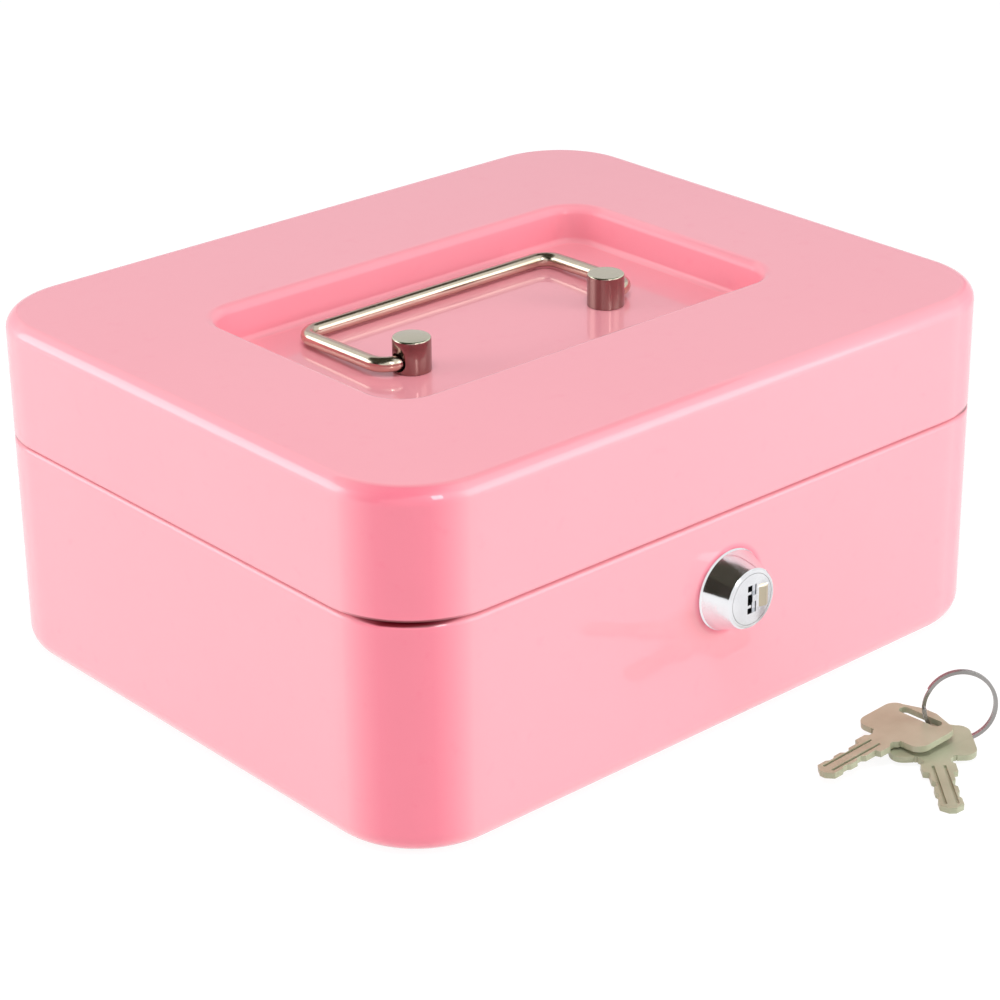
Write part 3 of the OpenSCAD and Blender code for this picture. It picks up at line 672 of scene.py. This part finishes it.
class Finishes:
    """The material of each of the part's slots."""

    def __init__(self) -> None:
        """Makes every material once."""
        metals = (
            Metal(
                "handle_nickel", (0.62, 0.55, 0.44), (0.54, 0.47, 0.37), 0.13,
                stretch=(0.05, 1, 1),
                colour_blocks=(
                    # Painted reflection and shade: dark reddish sides of the posts, and the bail's
                    # ends in their sockets.
                    ColourBlock((0.30, 0.20, 0.18), (27.0, -11.4, 80.4), (37.0, -1.6, 88.8)),
                    # Painted reflection: pale greenish tops of the posts.
                    ColourBlock((0.68, 0.76, 0.57), (27.0, -11.4, 88.8), (37.0, -1.6, 90.0)),
                ),
            ),
            Metal(
                "lock_chrome", (0.83, 0.84, 0.86), (0.70, 0.71, 0.74), 0.07,
                colour_blocks=(ColourBlock((0.50, 0.44, 0.33), (-1.0, -91.5, 34.0), (7.5, -90.1, 43.0)),),
            ),
            Metal("zinc_steel", (0.62, 0.63, 0.64), (0.48, 0.50, 0.50), 0.32, smudge=0.2),
            Metal("wafer_brass", (0.80, 0.62, 0.30), (0.62, 0.45, 0.20), 0.25),
            Metal(
                "key_nickel_brass", (0.455, 0.47, 0.33), (0.375, 0.375, 0.25), 0.32,
                stretch=(0.06, 1, 1), marks=0.010, smudge=0.16, metallic=(0.05, 0.35),
            ),
            Metal("ring_nickel", (0.34, 0.33, 0.32), (0.18, 0.17, 0.16), 0.22),
        )
        self.slots = {"pink_enamel": Enamel().make(), "tray_plastic": Moulding().make()}
        self.slots.update({metal.name: metal.make() for metal in metals})

    def dress_nodes(self) -> None:
        """Gives each CAD node that stays in view its slot's material."""
        for part in frame["record"]["subparts"]:
            node = frame["nodes"][part["node"]]
            for slot in node.material_slots:
                slot.material = self.slots[part["material_slot"]]

    def dress(self, piece: Piece, slot: str, body: Body, *nodes: str) -> None:
        """Gives a new piece its finish, its body and the nodes that it stands for.

        Args:
            piece: The finished piece.
            slot: The material slot whose finish it takes.
            body: The body that it rides on.
            nodes: The CAD nodes that it replaces.
        """
        piece.data.materials.clear()
        piece.data.materials.append(self.slots[slot])
        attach(piece, body.value)
        if nodes:
            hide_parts(*nodes)


@dataclass
class Shells:
    """The drawn base and the lid with its sunk pan."""

    length: float = 200
    depth: float = 165
    height: float = 90
    seam: float = 59.1
    seam_gap: float = 0.6
    corner: float = 24
    corner_steps: int = 24
    bottom_r: float = 6
    top_r: float = 4
    sheet: float = 1
    edge_r: float = 0.15
    lip_step: float = 1.5
    lip_h: float = 4.5
    lip_ease: float = 0.02
    lip_foot: float = 0.1
    pan_half: Pair = (52.5, 27.8)
    pan_corner: float = 6
    pan_depth: float = 9.5
    pan_slope: float = 15
    rim_r: float = 3
    floor_r: float = 2
    lock_z: float = 38.5
    lock_hole_r: float = 8
    hole_past: float = 4

    def _rounded_block(self, name: str, low: float, high: float) -> Piece:
        """Draws a block with the box's rounded plan between two heights."""
        x, y = self.length / 2, self.depth / 2
        piece = Bench.block(name, (-x, -y, low), (x, y, high))
        with Bench.editing(piece):
            Bench.pick(piece, Pick.EDGES, upright)
            Bench.bevel(self.corner, self.corner_steps)
        return piece

    def _round_end(self, piece: Piece, side: int, radius: float) -> None:
        """Rounds the loop round the block's top (side 1) or bottom (side -1)."""
        with Bench.editing(piece):
            Bench.pick(piece, Pick.FACES, facing("z", side))
            bpy.ops.mesh.region_to_loop()
            Bench.bevel(radius, 8)

    @staticmethod
    def _open_end(piece: Piece, side: int) -> None:
        """Deletes the block's flat top (side 1) or bottom (side -1) face."""
        with Bench.editing(piece):
            Bench.pick(piece, Pick.FACES, facing("z", side, SQUARELY))
            bpy.ops.mesh.delete(type="FACE")

    def _thicken(self, piece: Piece) -> None:
        """Gives the skin the sheet's thickness inwards, and breaks its cut edges."""
        Bench.modify(
            piece, "SOLIDIFY", thickness=self.sheet, offset=-1, use_even_offset=True,
            use_quality_normals=True,
        )
        Bench.edge_round(piece, self.edge_r, 60)

    def base(self) -> Piece:
        """Draws the base: floor, walls, a shoulder and the lip inside the lid."""
        shoulder = self.seam - self.seam_gap
        lip_r, lip_top = self.corner - self.lip_step, self.seam + self.lip_h
        start = shoulder - self.lip_step
        piece = self._rounded_block("base_skin", 0, start)
        self._round_end(piece, -1, self.bottom_r)
        with Bench.editing(piece):
            Bench.pick(piece, Pick.FACES, facing("z", 1))
            ease, foot = self.lip_ease, self.lip_foot
            steps = arc(lip_r, start, self.lip_step, 0, 90, 6)
            steps[-1:] = [(lip_r + foot + ease, shoulder - ease), (lip_r + ease, shoulder)]
            steps += [(lip_r, shoulder + foot), (lip_r, lip_top)]
            Bench.draw_in(steps[1:], steps[0])
        self._open_end(piece, 1)
        self._thicken(piece)
        r, past = self.lock_hole_r, self.hole_past
        hole = Bench.turned("lock_hole", [(r, -past), (r, past)], 64)
        Bench.put(hole, Matrix.Translation((0, -self.depth / 2, self.lock_z)) @ turn(90, "X"))
        Bench.cut(piece, [hole])
        Bench.finish(piece)
        return piece

    def _pan_profile(self) -> list[Pair]:
        """The pan's section, from the rim inwards: how far out and how high."""
        lean = math.radians(self.pan_slope)
        rounds = self.floor_r + self.rim_r
        rise = self.pan_depth - rounds * (1 - math.sin(lean))
        rim = self.pan_corner + rounds * math.cos(lean) + rise * math.tan(lean)
        floor = self.height - self.pan_depth
        return arc(rim, self.height - self.rim_r, self.rim_r, 90, 180 - self.pan_slope, 9) + arc(
            self.pan_corner, floor + self.floor_r, self.floor_r, -self.pan_slope, -90, 7
        )

    def lid(self) -> Piece:
        """Draws the lid: skirt, rolled top edge and the pan for the handle."""
        piece = self._rounded_block("lid_skin", self.seam, self.height)
        self._round_end(piece, 1, self.top_r)
        self._open_end(piece, -1)
        self._open_end(piece, 1)
        profile = self._pan_profile()
        x, y = (half + profile[0][0] for half in self.pan_half)
        Bench.clear()
        bpy.ops.mesh.primitive_plane_add(size=1, location=(0, 0, self.height))
        pan = Bench.named("pan")
        with Bench.editing(pan):
            Bench.everything()
            bpy.ops.transform.resize(value=(2 * x, 2 * y, 1), center_override=(0, 0, self.height))
            Bench.bevel(profile[0][0], 16, affect="VERTICES")
            Bench.pick(pan, Pick.FACES, lambda f: True)
            Bench.draw_in(profile[1:], profile[0])
        Bench.apply_place(pan)
        Bench.take(piece, pan)
        bpy.ops.object.join()
        top = self.height - 1e-3
        with Bench.editing(piece):
            Bench.pick(
                piece, Pick.EDGES,
                lambda e: e.is_boundary and all(v.co.z > top for v in e.verts),
            )
            bpy.ops.mesh.bridge_edge_loops()
            Bench.everything()
            bpy.ops.mesh.remove_doubles(threshold=1e-4)
            bpy.ops.mesh.normals_make_consistent(inside=False)
            if Bench.pick(piece, Pick.FACES, facing("z", -1, 0.5)):
                Bench.everything()
                bpy.ops.mesh.flip_normals()
        self._thicken(piece)
        Bench.finish(piece)
        return piece


@dataclass
class Handle:
    """The wire bail and the two turned posts that it swings in."""

    post_x: float = 32
    post_y: float = -6.5
    post_r: float = 4.75
    post_h: float = 8.5
    floor: float = 80.5
    pivot_h: float = 2.9
    wire_r: float = 1.9
    reach: float = 32
    bend: float = 4.8
    bend_steps: int = 12
    arm_gap: float = 2.3
    socket_depth: float = 2.7
    socket_gap: float = 0.5
    stub_gap: float = 0.3
    bar_lift: float = 0.25
    stub_ends: tuple[Pair, ...] = ((0.25, 0.94), (0.10, 0.85))
    foot_r: float = 0.15
    crown_r: float = 0.45
    crown_start: float = 18
    edge_r: float = 0.14

    def bail(self) -> Piece:
        """Bends the bail from a round wire: half of it, then its mirror image."""
        arm_x = self.post_x + self.post_r + self.arm_gap + self.wire_r
        straight = arm_x - self.bend
        stub = self.post_x + self.post_r - self.socket_depth + self.stub_gap
        Bench.clear()
        bpy.ops.mesh.primitive_circle_add(
            vertices=36, radius=self.wire_r, location=(0, self.reach, 0),
            rotation=(0, math.radians(90), 0), fill_type="NOTHING",
        )
        piece = Bench.named("bail_wire")
        Bench.apply_place(piece)
        with Bench.editing(piece):
            bpy.ops.mesh.select_mode(type=Pick.EDGES.value)
            Bench.everything()
            Bench.pull((straight, 0, 0))
            Bench.sweep(self.bend_steps, 90, (straight, self.reach - self.bend, 0))
            Bench.pull((0, 2 * self.bend - self.reach, 0))
            Bench.sweep(self.bend_steps, 90, (straight, self.bend, 0))
            Bench.pull((stub + sum(deep for deep, _ in self.stub_ends) - straight, 0, 0))
            for deep, share in self.stub_ends:
                Bench.pull((-deep, 0, 0), (1, share, share), (stub, 0, 0))
            bpy.ops.mesh.edge_face_add()
        Bench.modify(piece, "MIRROR", use_axis=(True, False, False), merge_threshold=1e-3)
        with Bench.editing(piece):
            Bench.close(piece)
        tilt = math.degrees(math.asin((self.pivot_h - self.wire_r - self.bar_lift) / self.reach))
        pivot = Matrix.Translation((0, self.post_y, self.floor + self.pivot_h))
        Bench.put(piece, pivot @ turn(-tilt, "X"))
        Bench.finish(piece)
        return piece

    def post(self) -> Piece:
        """Turns the right-hand post and bores the socket in its outer side."""
        r, h, foot, crown = self.post_r, self.post_h, self.foot_r, self.crown_r
        top = arc(r - crown, h - crown, crown, self.crown_start, 90, 5)
        piece = Bench.turned("post_right", [(r - foot, 0), (r, foot), (r, h - crown), *top], 72)
        bore = self.wire_r + self.socket_gap
        hole = Bench.turned("socket", [(bore, 0), (bore, 2 * self.socket_depth)], 48)
        Bench.put(
            hole, Matrix.Translation((r - self.socket_depth, 0, self.pivot_h)) @ turn(90, "Y")
        )
        Bench.cut(piece, [hole])
        Bench.edge_round(piece, self.edge_r, 38)
        Bench.put(piece, Matrix.Translation((self.post_x, self.post_y, self.floor)))
        Bench.finish(piece)
        return piece


@dataclass
class Keys:
    """Two stamped keys and the split ring that they hang on."""

    length: float = 37
    bow_w: float = 20.8
    blade_w: float = 5.6
    blade_l: float = 15
    thick: float = 1.6
    slot_l: float = 12.8
    slot_w: float = 2.6
    slot_flat: float = 0.08
    shoulder_l: float = 7
    bow_r: float = 3
    crown: float = 1.7
    bow_web: float = 3.5
    groove_t: float = 0.7
    ring_d: float = 18.1
    ring_t: float = 0.9
    ring_w: float = 1.4
    ring_x: float = 37.8
    ring_y: float = -123.3
    ring_turn: float = -38
    ring_lean: float = 7
    gap: float = 0.3
    web_shift: float = 0.5
    tip_l: float = 1.4
    tip_share: float = 2 / 7
    shoulder_ease: float = 0.4
    notch_half: float = 0.6
    notch_flare: float = 0.8
    notches: tuple[Pair, ...] = ((0.36, 0.6), (0.69, 0.9))
    shoulder_notch: Pair = (2, 0.9)
    groove_start: float = 1.9
    groove_past: float = 3
    cutter_low: float = -1
    cutter_high: float = 3
    edge_r: float = 0.07
    upper_turn: float = -1.5
    upper_pitch: float = 4
    upper_roll: float = 3
    upper_shift_part: float = 5.5
    upper_rest: float = 6
    lower_turn: float = 51.4
    lower_play: float = 1
    split: float = 0.08
    wire_edge: float = 0.12
    wire_start: float = 0.01
    lap: float = 330
    lap_steps: int = 66
    step_over: float = 28
    step_steps: int = 12
    ring_start: float = 150

    @property
    def bow_start(self) -> float:
        """Where the bow begins, from the tip."""
        return self.blade_l + self.shoulder_l

    @property
    def reach(self) -> float:
        """From the tip to the middle of the slot."""
        return self.length - self.bow_web

    @property
    def shoulder_half(self) -> float:
        """Half the width of the shoulder between bow and blade."""
        return self.bow_w / 5

    def _cutter(self, name: str, low: Pair, high: Pair) -> Piece:
        """A block that cuts right through the key between two corners of its plan."""
        return Bench.block(name, (*low, self.cutter_low), (*high, self.cutter_high))

    def _blank(self) -> Piece:
        """Shapes the flat blank: bow, shoulder and blade, drawn out of one block."""
        half, blade = self.bow_w / 2, self.blade_w / 2
        end = self.length - self.crown
        piece = Bench.block("key_blank", (self.bow_start, -half, 0), (end, half, self.thick))
        with Bench.editing(piece):
            Bench.pick(piece, Pick.EDGES, upright)
            Bench.bevel(self.bow_r, 7)
            flat = half - self.bow_r
            Bench.pick(piece, Pick.FACES, facing("x", 1, SQUARELY))
            Bench.pull((self.crown, 0, 0), (1, self.bow_w / 10 / flat, 1))
            Bench.pick(piece, Pick.FACES, facing("x", -1, SQUARELY))
            shoulder, ease = self.shoulder_half, self.shoulder_ease
            Bench.pull((0, 0, 0), (1, shoulder / flat, 1))
            Bench.pull((self.blade_l + ease - self.bow_start, 0, 0))
            Bench.pull((-ease, 0, 0), (1, blade / shoulder, 1))
            Bench.pull((self.tip_l - self.blade_l, 0, 0))
            Bench.pull((-self.tip_l, 0, 0), (1, self.tip_share, 1))
            Bench.close(piece)
        return piece

    def _notch(self, x: float, edge: float, deep: float) -> Piece:
        """A flat-floored cutter that is wider at its mouth.

        Args:
            x: Where along the key.
            edge: How far out the key's edge is there; below 0 on the other side.
            deep: How far the cut reaches in.

        Returns:
            The cutter.
        """
        side, half = math.copysign(1, edge), self.notch_half
        floor, mouth = edge - side * deep, edge + side
        low, high = sorted((floor, mouth))
        piece = self._cutter("notch", (x - half, low), (x + half, high))
        wide = (half + self.notch_flare * (deep + 1) / deep) / half
        with Bench.editing(piece):
            Bench.pick(piece, Pick.FACES, facing("y", side))
            bpy.ops.transform.resize(value=(wide, 1, 1), center_override=(x, mouth, 0))
        return piece

    def _slot(self) -> Piece:
        """The cutter of the bow's slot: a block whose ends are rounded."""
        half_w, half_l = self.slot_w / 2, self.slot_l / 2
        piece = self._cutter(
            "slot", (self.reach - half_w, -half_l), (self.reach + half_w, half_l)
        )
        with Bench.editing(piece):
            Bench.pick(piece, Pick.EDGES, upright)
            Bench.bevel(half_w - self.slot_flat, 8)
        return piece

    def _groove(self, across: float, width: float, top: bool) -> Piece:
        """The cutter of one groove along the blade, milled from the top or from below."""
        rest = self.thick - self.groove_t
        low, high = (rest, self.cutter_high) if top else (self.cutter_low, self.groove_t)
        return Bench.block(
            "groove",
            (self.groove_start, across - width / 2, low),
            (self.blade_l + self.groove_past, across + width / 2, high),
        )

    def key(self) -> Piece:
        """Makes one key flat on the ground, its tip at the origin and its bow along +X."""
        piece = self._blank()
        back, deep = self.shoulder_notch
        tools = [self._slot()]
        for side in (-1, 1):
            for share, depth in self.notches:
                tools.append(self._notch(share * self.blade_l, side * self.blade_w / 2, depth))
            tools.append(self._notch(self.bow_start - back, side * self.shoulder_half, deep))
            tools.append(self._groove(side * self.blade_w / 4, self.blade_w / 8, True))
        tools.append(self._groove(0, self.blade_w / 3, False))
        Bench.cut(piece, tools)
        Bench.edge_round(piece, self.edge_r, 28)
        with Bench.editing(piece):
            Bench.everything()
            bpy.ops.mesh.vert_connect_concave()
        return piece

    def _ring_run(self, z: float) -> float:
        """How far along the ground, from its lowest point, the ring reaches height z."""
        mid = (self.ring_d - self.ring_t) / 2
        return math.sqrt(mid**2 - (mid + self.ring_t / 2 - z) ** 2)

    def _ring_at(self, z: float) -> Vector:
        """Where the ring's wire passes height z, on the side towards the box."""
        heading = math.radians(self.ring_turn)
        along = Vector((math.cos(heading), math.sin(heading)))
        across = Vector((-math.sin(heading), math.cos(heading)))
        lean = (z - self.ring_t / 2) * math.sin(math.radians(self.ring_lean))
        return Vector((self.ring_x, self.ring_y)) - self._ring_run(z) * along + lean * across

    def places(self) -> tuple[Matrix, Matrix]:
        """Where the upper and the lower key lie, threaded on the ring.

        Returns:
            The upper key's matrix and the lower key's, in millimetres.
        """
        web = (self.bow_w - self.slot_l) / 2
        ring_in = self.ring_d / 2 - self.ring_t
        rise = ring_in - math.sqrt(ring_in**2 - (web / 2 + self.web_shift) ** 2)
        pitch_b = math.asin((self.ring_t + rise + self.gap) / (self.reach - self.lower_play))
        turn_b, turn_a, pitch_a, roll_a = (
            math.radians(degrees)
            for degrees in (self.lower_turn, self.upper_turn, self.upper_pitch, self.upper_roll)
        )
        lift = (self.reach - self.upper_rest) * math.sin(pitch_b) + self.thick + self.gap
        lift -= self.bow_start * math.sin(pitch_a)

        mid = self._ring_at(lift + self.reach * math.sin(pitch_a) + self.thick / 2)
        mid = mid + Vector((0, self.slot_l / self.upper_shift_part))
        tip = mid - self.reach * math.cos(pitch_a) * Vector((math.cos(turn_a), math.sin(turn_a)))
        upper = (
            Matrix.Translation((*tip, lift + self.blade_w / 2 * math.sin(roll_a)))
            @ turn(self.upper_turn, "Z")
            @ turn(-self.upper_pitch, "Y")
            @ turn(-self.upper_roll, "X")
        )
        z = self.reach * math.sin(pitch_b) + self.thick / 2
        across = Vector((math.sin(turn_b), -math.cos(turn_b)))
        off = self.slot_l / 2 + web / 2 - self.web_shift - self._ring_run(z)
        mid = self._ring_at(z) - off * across
        tip = mid - self.reach * math.cos(pitch_b) * Vector((math.cos(turn_b), math.sin(turn_b)))
        lower = (
            Matrix.Translation((*tip, 0))
            @ turn(self.lower_turn, "Z")
            @ turn(-math.degrees(pitch_b), "Y")
        )
        return upper, lower

    def ring(self) -> Piece:
        """Winds the split ring: two flat turns of wire with a short step between them."""
        half, out = self.ring_w / 2, self.ring_d / 2
        low = (out - self.ring_t, -self.wire_start, -half)
        piece = Bench.block("split_ring", low, (out, 0, -self.split / 2))
        with Bench.editing(piece):
            Bench.pick(
                piece, Pick.EDGES, lambda e: abs((e.verts[0].co - e.verts[1].co).y) > 1e-3
            )
            Bench.bevel(self.wire_edge, 2)
            Bench.pick(piece, Pick.FACES, facing("y", 1, 0.9))
            Bench.sweep(self.lap_steps, self.lap)
            for _ in range(self.step_steps):
                Bench.sweep(1, self.step_over / self.step_steps)
                rise = (half + self.split / 2) / self.step_steps
                bpy.ops.transform.translate(value=(0, 0, rise))
            Bench.sweep(self.lap_steps, self.lap)
            Bench.close(piece)
        lean, mid = math.radians(self.ring_lean), (self.ring_d - self.ring_t) / 2
        rest = out * math.cos(lean) + half * math.sin(lean)
        Bench.put(
            piece,
            Matrix.Translation((self.ring_x, self.ring_y, 0))
            @ turn(self.ring_turn, "Z")
            @ Matrix.Translation((0, mid * math.sin(lean), rest))
            @ turn(90 - self.ring_lean, "X")
            @ turn(self.ring_start, "Z"),
        )
        Bench.finish(piece)
        return piece


@dataclass
class Card:
    """A flat lamp or a plain card of the studio, turned to the part."""

    name: str
    aim: Point
    distance: float
    size: Pair
    level: float
    tint: Colour = WHITE


class Studio:
    """The white room round the part: floor, world, lamps, cards and camera."""

    middle = Vector((0.01, -0.02, 0.045))
    room_level = 0.42
    floor_grey = (0.86, 0.86, 0.86)
    floor_glow = 1.12
    floor_share = 0.8
    floor_r = 6
    stand = (-0.4447, -0.5061, 0.3422)
    azimuth, lift, roll = -41.39, 24.60, -0.64
    sensor, lens = 36, 104.58
    lamps = (
        Card("lamp_left", (-0.80, 0.54, 0.25), 1.2, (0.7, 0.7), 4.6),
        Card("lamp_right", (0.54, -0.80, 0.25), 1.2, (0.7, 0.7), 5.45),
        Card("lamp_near", (-0.60, -0.68, 0.42), 1.2, (0.6, 0.6), 1.3),
        Card("lamp_over", (-0.20, -0.20, 0.96), 1.3, (0.5, 0.5), 8.5),
    )
    glints = (
        Card("glint_left", (-0.66, 0.66, 0.36), 1.3, (0.80, 0.66), 2.2),
        Card("glint_right", (0.44, -0.80, 0.36), 1.3, (0.80, 0.80), 1.8),
        Card("glint_near", (-0.22, -0.80, 0.54), 1.3, (0.22, 0.50), 8.0),
    )
    olive = (1.0, 1.0, 0.7)
    cards = (
        Card("card_left", (-0.95, -0.05, 0.50), 0.75, (0.42, 0.75), 0.030, olive),
        Card("card_high", (-0.45, -0.05, 0.90), 0.70, (0.70, 0.90), 0.055, olive),
        Card("card_over", (0.0, 0.27, 0.80), 0.85, (1.50, 0.70), 0.060, olive),
        Card("card_back", (0.62, 0.68, 0.42), 0.85, (0.95, 0.52), 0.62, (1.15, 0.98, 1.06)),
    )

    @staticmethod
    def _face(piece: Piece, card: Card) -> None:
        """Stands a lamp or a card at its place, facing the part."""
        away = Vector(card.aim).normalized()
        piece.location = Studio.middle + away * card.distance
        piece.rotation_euler = away.to_track_quat("Z", "Y").to_euler()

    def light(self) -> None:
        """Adds the lamps; a lamp's power makes its surface that many times white."""
        for card in (*self.lamps, *self.glints):
            data = bpy.data.lights.new(card.name, "AREA")
            data.shape = "RECTANGLE"
            data.size, data.size_y = card.size
            data.energy = card.level * math.pi * card.size[0] * card.size[1]
            lamp = bpy.data.objects.new(card.name, data)
            bpy.context.scene.collection.objects.link(lamp)
            lamp.visible_diffuse = card not in self.glints
            lamp.visible_glossy = card in self.glints
            self._face(lamp, card)

    def hang_cards(self) -> None:
        """Hangs the dark and tinted cards, which only reflections see."""
        for card in self.cards:
            Bench.clear()
            bpy.ops.mesh.primitive_plane_add(size=1)
            piece = Bench.named(card.name)
            piece.scale = (*card.size, 1)
            self._face(piece, card)
            recipe = Recipe(
                card.name, Base_Color=(0.0, 0.0, 0.0), Roughness=1.0, Specular_IOR_Level=0.0,
                Emission_Color=card.tint, Emission_Strength=card.level,
            )
            piece.data.materials.append(recipe.material)
            piece.visible_camera = piece.visible_diffuse = piece.visible_shadow = False

    def floor(self) -> None:
        """Lays the pale floor: white to the camera, with the part's soft shadow on it."""
        Bench.clear()
        bpy.ops.mesh.primitive_circle_add(vertices=96, radius=self.floor_r, fill_type="NGON")
        piece = Bench.named("floor")
        recipe = Recipe("floor", Base_Color=self.floor_grey, Roughness=0.9)
        glow = recipe.add(
            "ShaderNodeEmission", {}, {"Color": WHITE, "Strength": self.floor_glow}
        )
        lit = Wire(recipe, recipe.shader.outputs[0])
        share = recipe.seen() * self.floor_share
        mixed = recipe.add("ShaderNodeMixShader", {}, {0: share, 1: lit, 2: glow})
        recipe.show(mixed, recipe.nodes["Material Output"])
        piece.data.materials.append(recipe.material)

    def world(self) -> None:
        """Sets the even light of the room, and the white that is seen behind all."""
        world = bpy.data.worlds.new("room")
        bpy.context.scene.world = world
        world.use_nodes = True
        graph = Graph(world.node_tree)
        graph.nodes.clear()
        dim, white = (
            graph.add("ShaderNodeBackground", {}, {"Color": WHITE, "Strength": level})
            for level in (self.room_level, 1.0)
        )
        mixed = graph.add("ShaderNodeMixShader", {}, {0: graph.seen(), 1: dim, 2: white})
        graph.show(mixed, graph.nodes.new("ShaderNodeOutputWorld"))

    def camera(self) -> None:
        """Stands the camera where it looks down on the front left corner."""
        azimuth, lift, roll = (math.radians(a) for a in (self.azimuth, self.lift, self.roll))
        back = Vector((
            math.sin(azimuth) * math.cos(lift), -math.cos(azimuth) * math.cos(lift), math.sin(lift)
        ))
        right = Vector((math.cos(azimuth), math.sin(azimuth), 0))
        up = back.cross(right)
        across = math.cos(roll) * right + math.sin(roll) * up
        upward = -math.sin(roll) * right + math.cos(roll) * up
        data = bpy.data.cameras.new("camera")
        data.sensor_width, data.lens = self.sensor, self.lens
        data.clip_start, data.clip_end = 0.01, 50
        camera = bpy.data.objects.new("camera", data)
        bpy.context.scene.collection.objects.link(camera)
        facing_part = Matrix((across, upward, back)).transposed().to_4x4()
        camera.matrix_world = Matrix.Translation(self.stand) @ facing_part
        bpy.context.scene.camera = camera

    def build(self) -> None:
        """Sets up the whole studio."""
        self.camera()
        self.world()
        self.light()
        self.hang_cards()
        self.floor()
        bpy.context.scene.view_settings.view_transform = "Standard"


def main() -> None:
    """Builds the studio, then each sub-assembly, and reports every piece."""
    Studio().build()
    finishes = Finishes()
    finishes.dress_nodes()

    shells = Shells()
    finishes.dress(shells.base(), "pink_enamel", Body.BASE, "base_shell")
    finishes.dress(shells.lid(), "pink_enamel", Body.LID, "lid_shell")

    handle = Handle()
    finishes.dress(handle.bail(), "handle_nickel", Body.BAIL, "handle_bail")
    post = handle.post()
    mirror = Matrix.Scale(-1, 4, (1, 0, 0))
    left = Bench.twin(post, "post_left", mirror)
    finishes.dress(post, "handle_nickel", Body.LID, "handle_post_right")
    finishes.dress(left, "handle_nickel", Body.LID, "handle_post_left")

    keys = Keys()
    upper_place, lower_place = keys.places()
    upper = keys.key()
    lower = Bench.twin(upper, "key_lower", lower_place)
    Bench.put(upper, upper_place)
    upper.name = "key_upper"
    for key, node in ((upper, "key_a"), (lower, "key_b")):
        Bench.finish(key)
        finishes.dress(key, "key_nickel_brass", Body.KEYS, node)
    finishes.dress(keys.ring(), "ring_nickel", Body.KEYS, "key_ring")


if __name__ == "__main__":
    logging.basicConfig(level=logging.INFO, format="%(message)s")
    main()
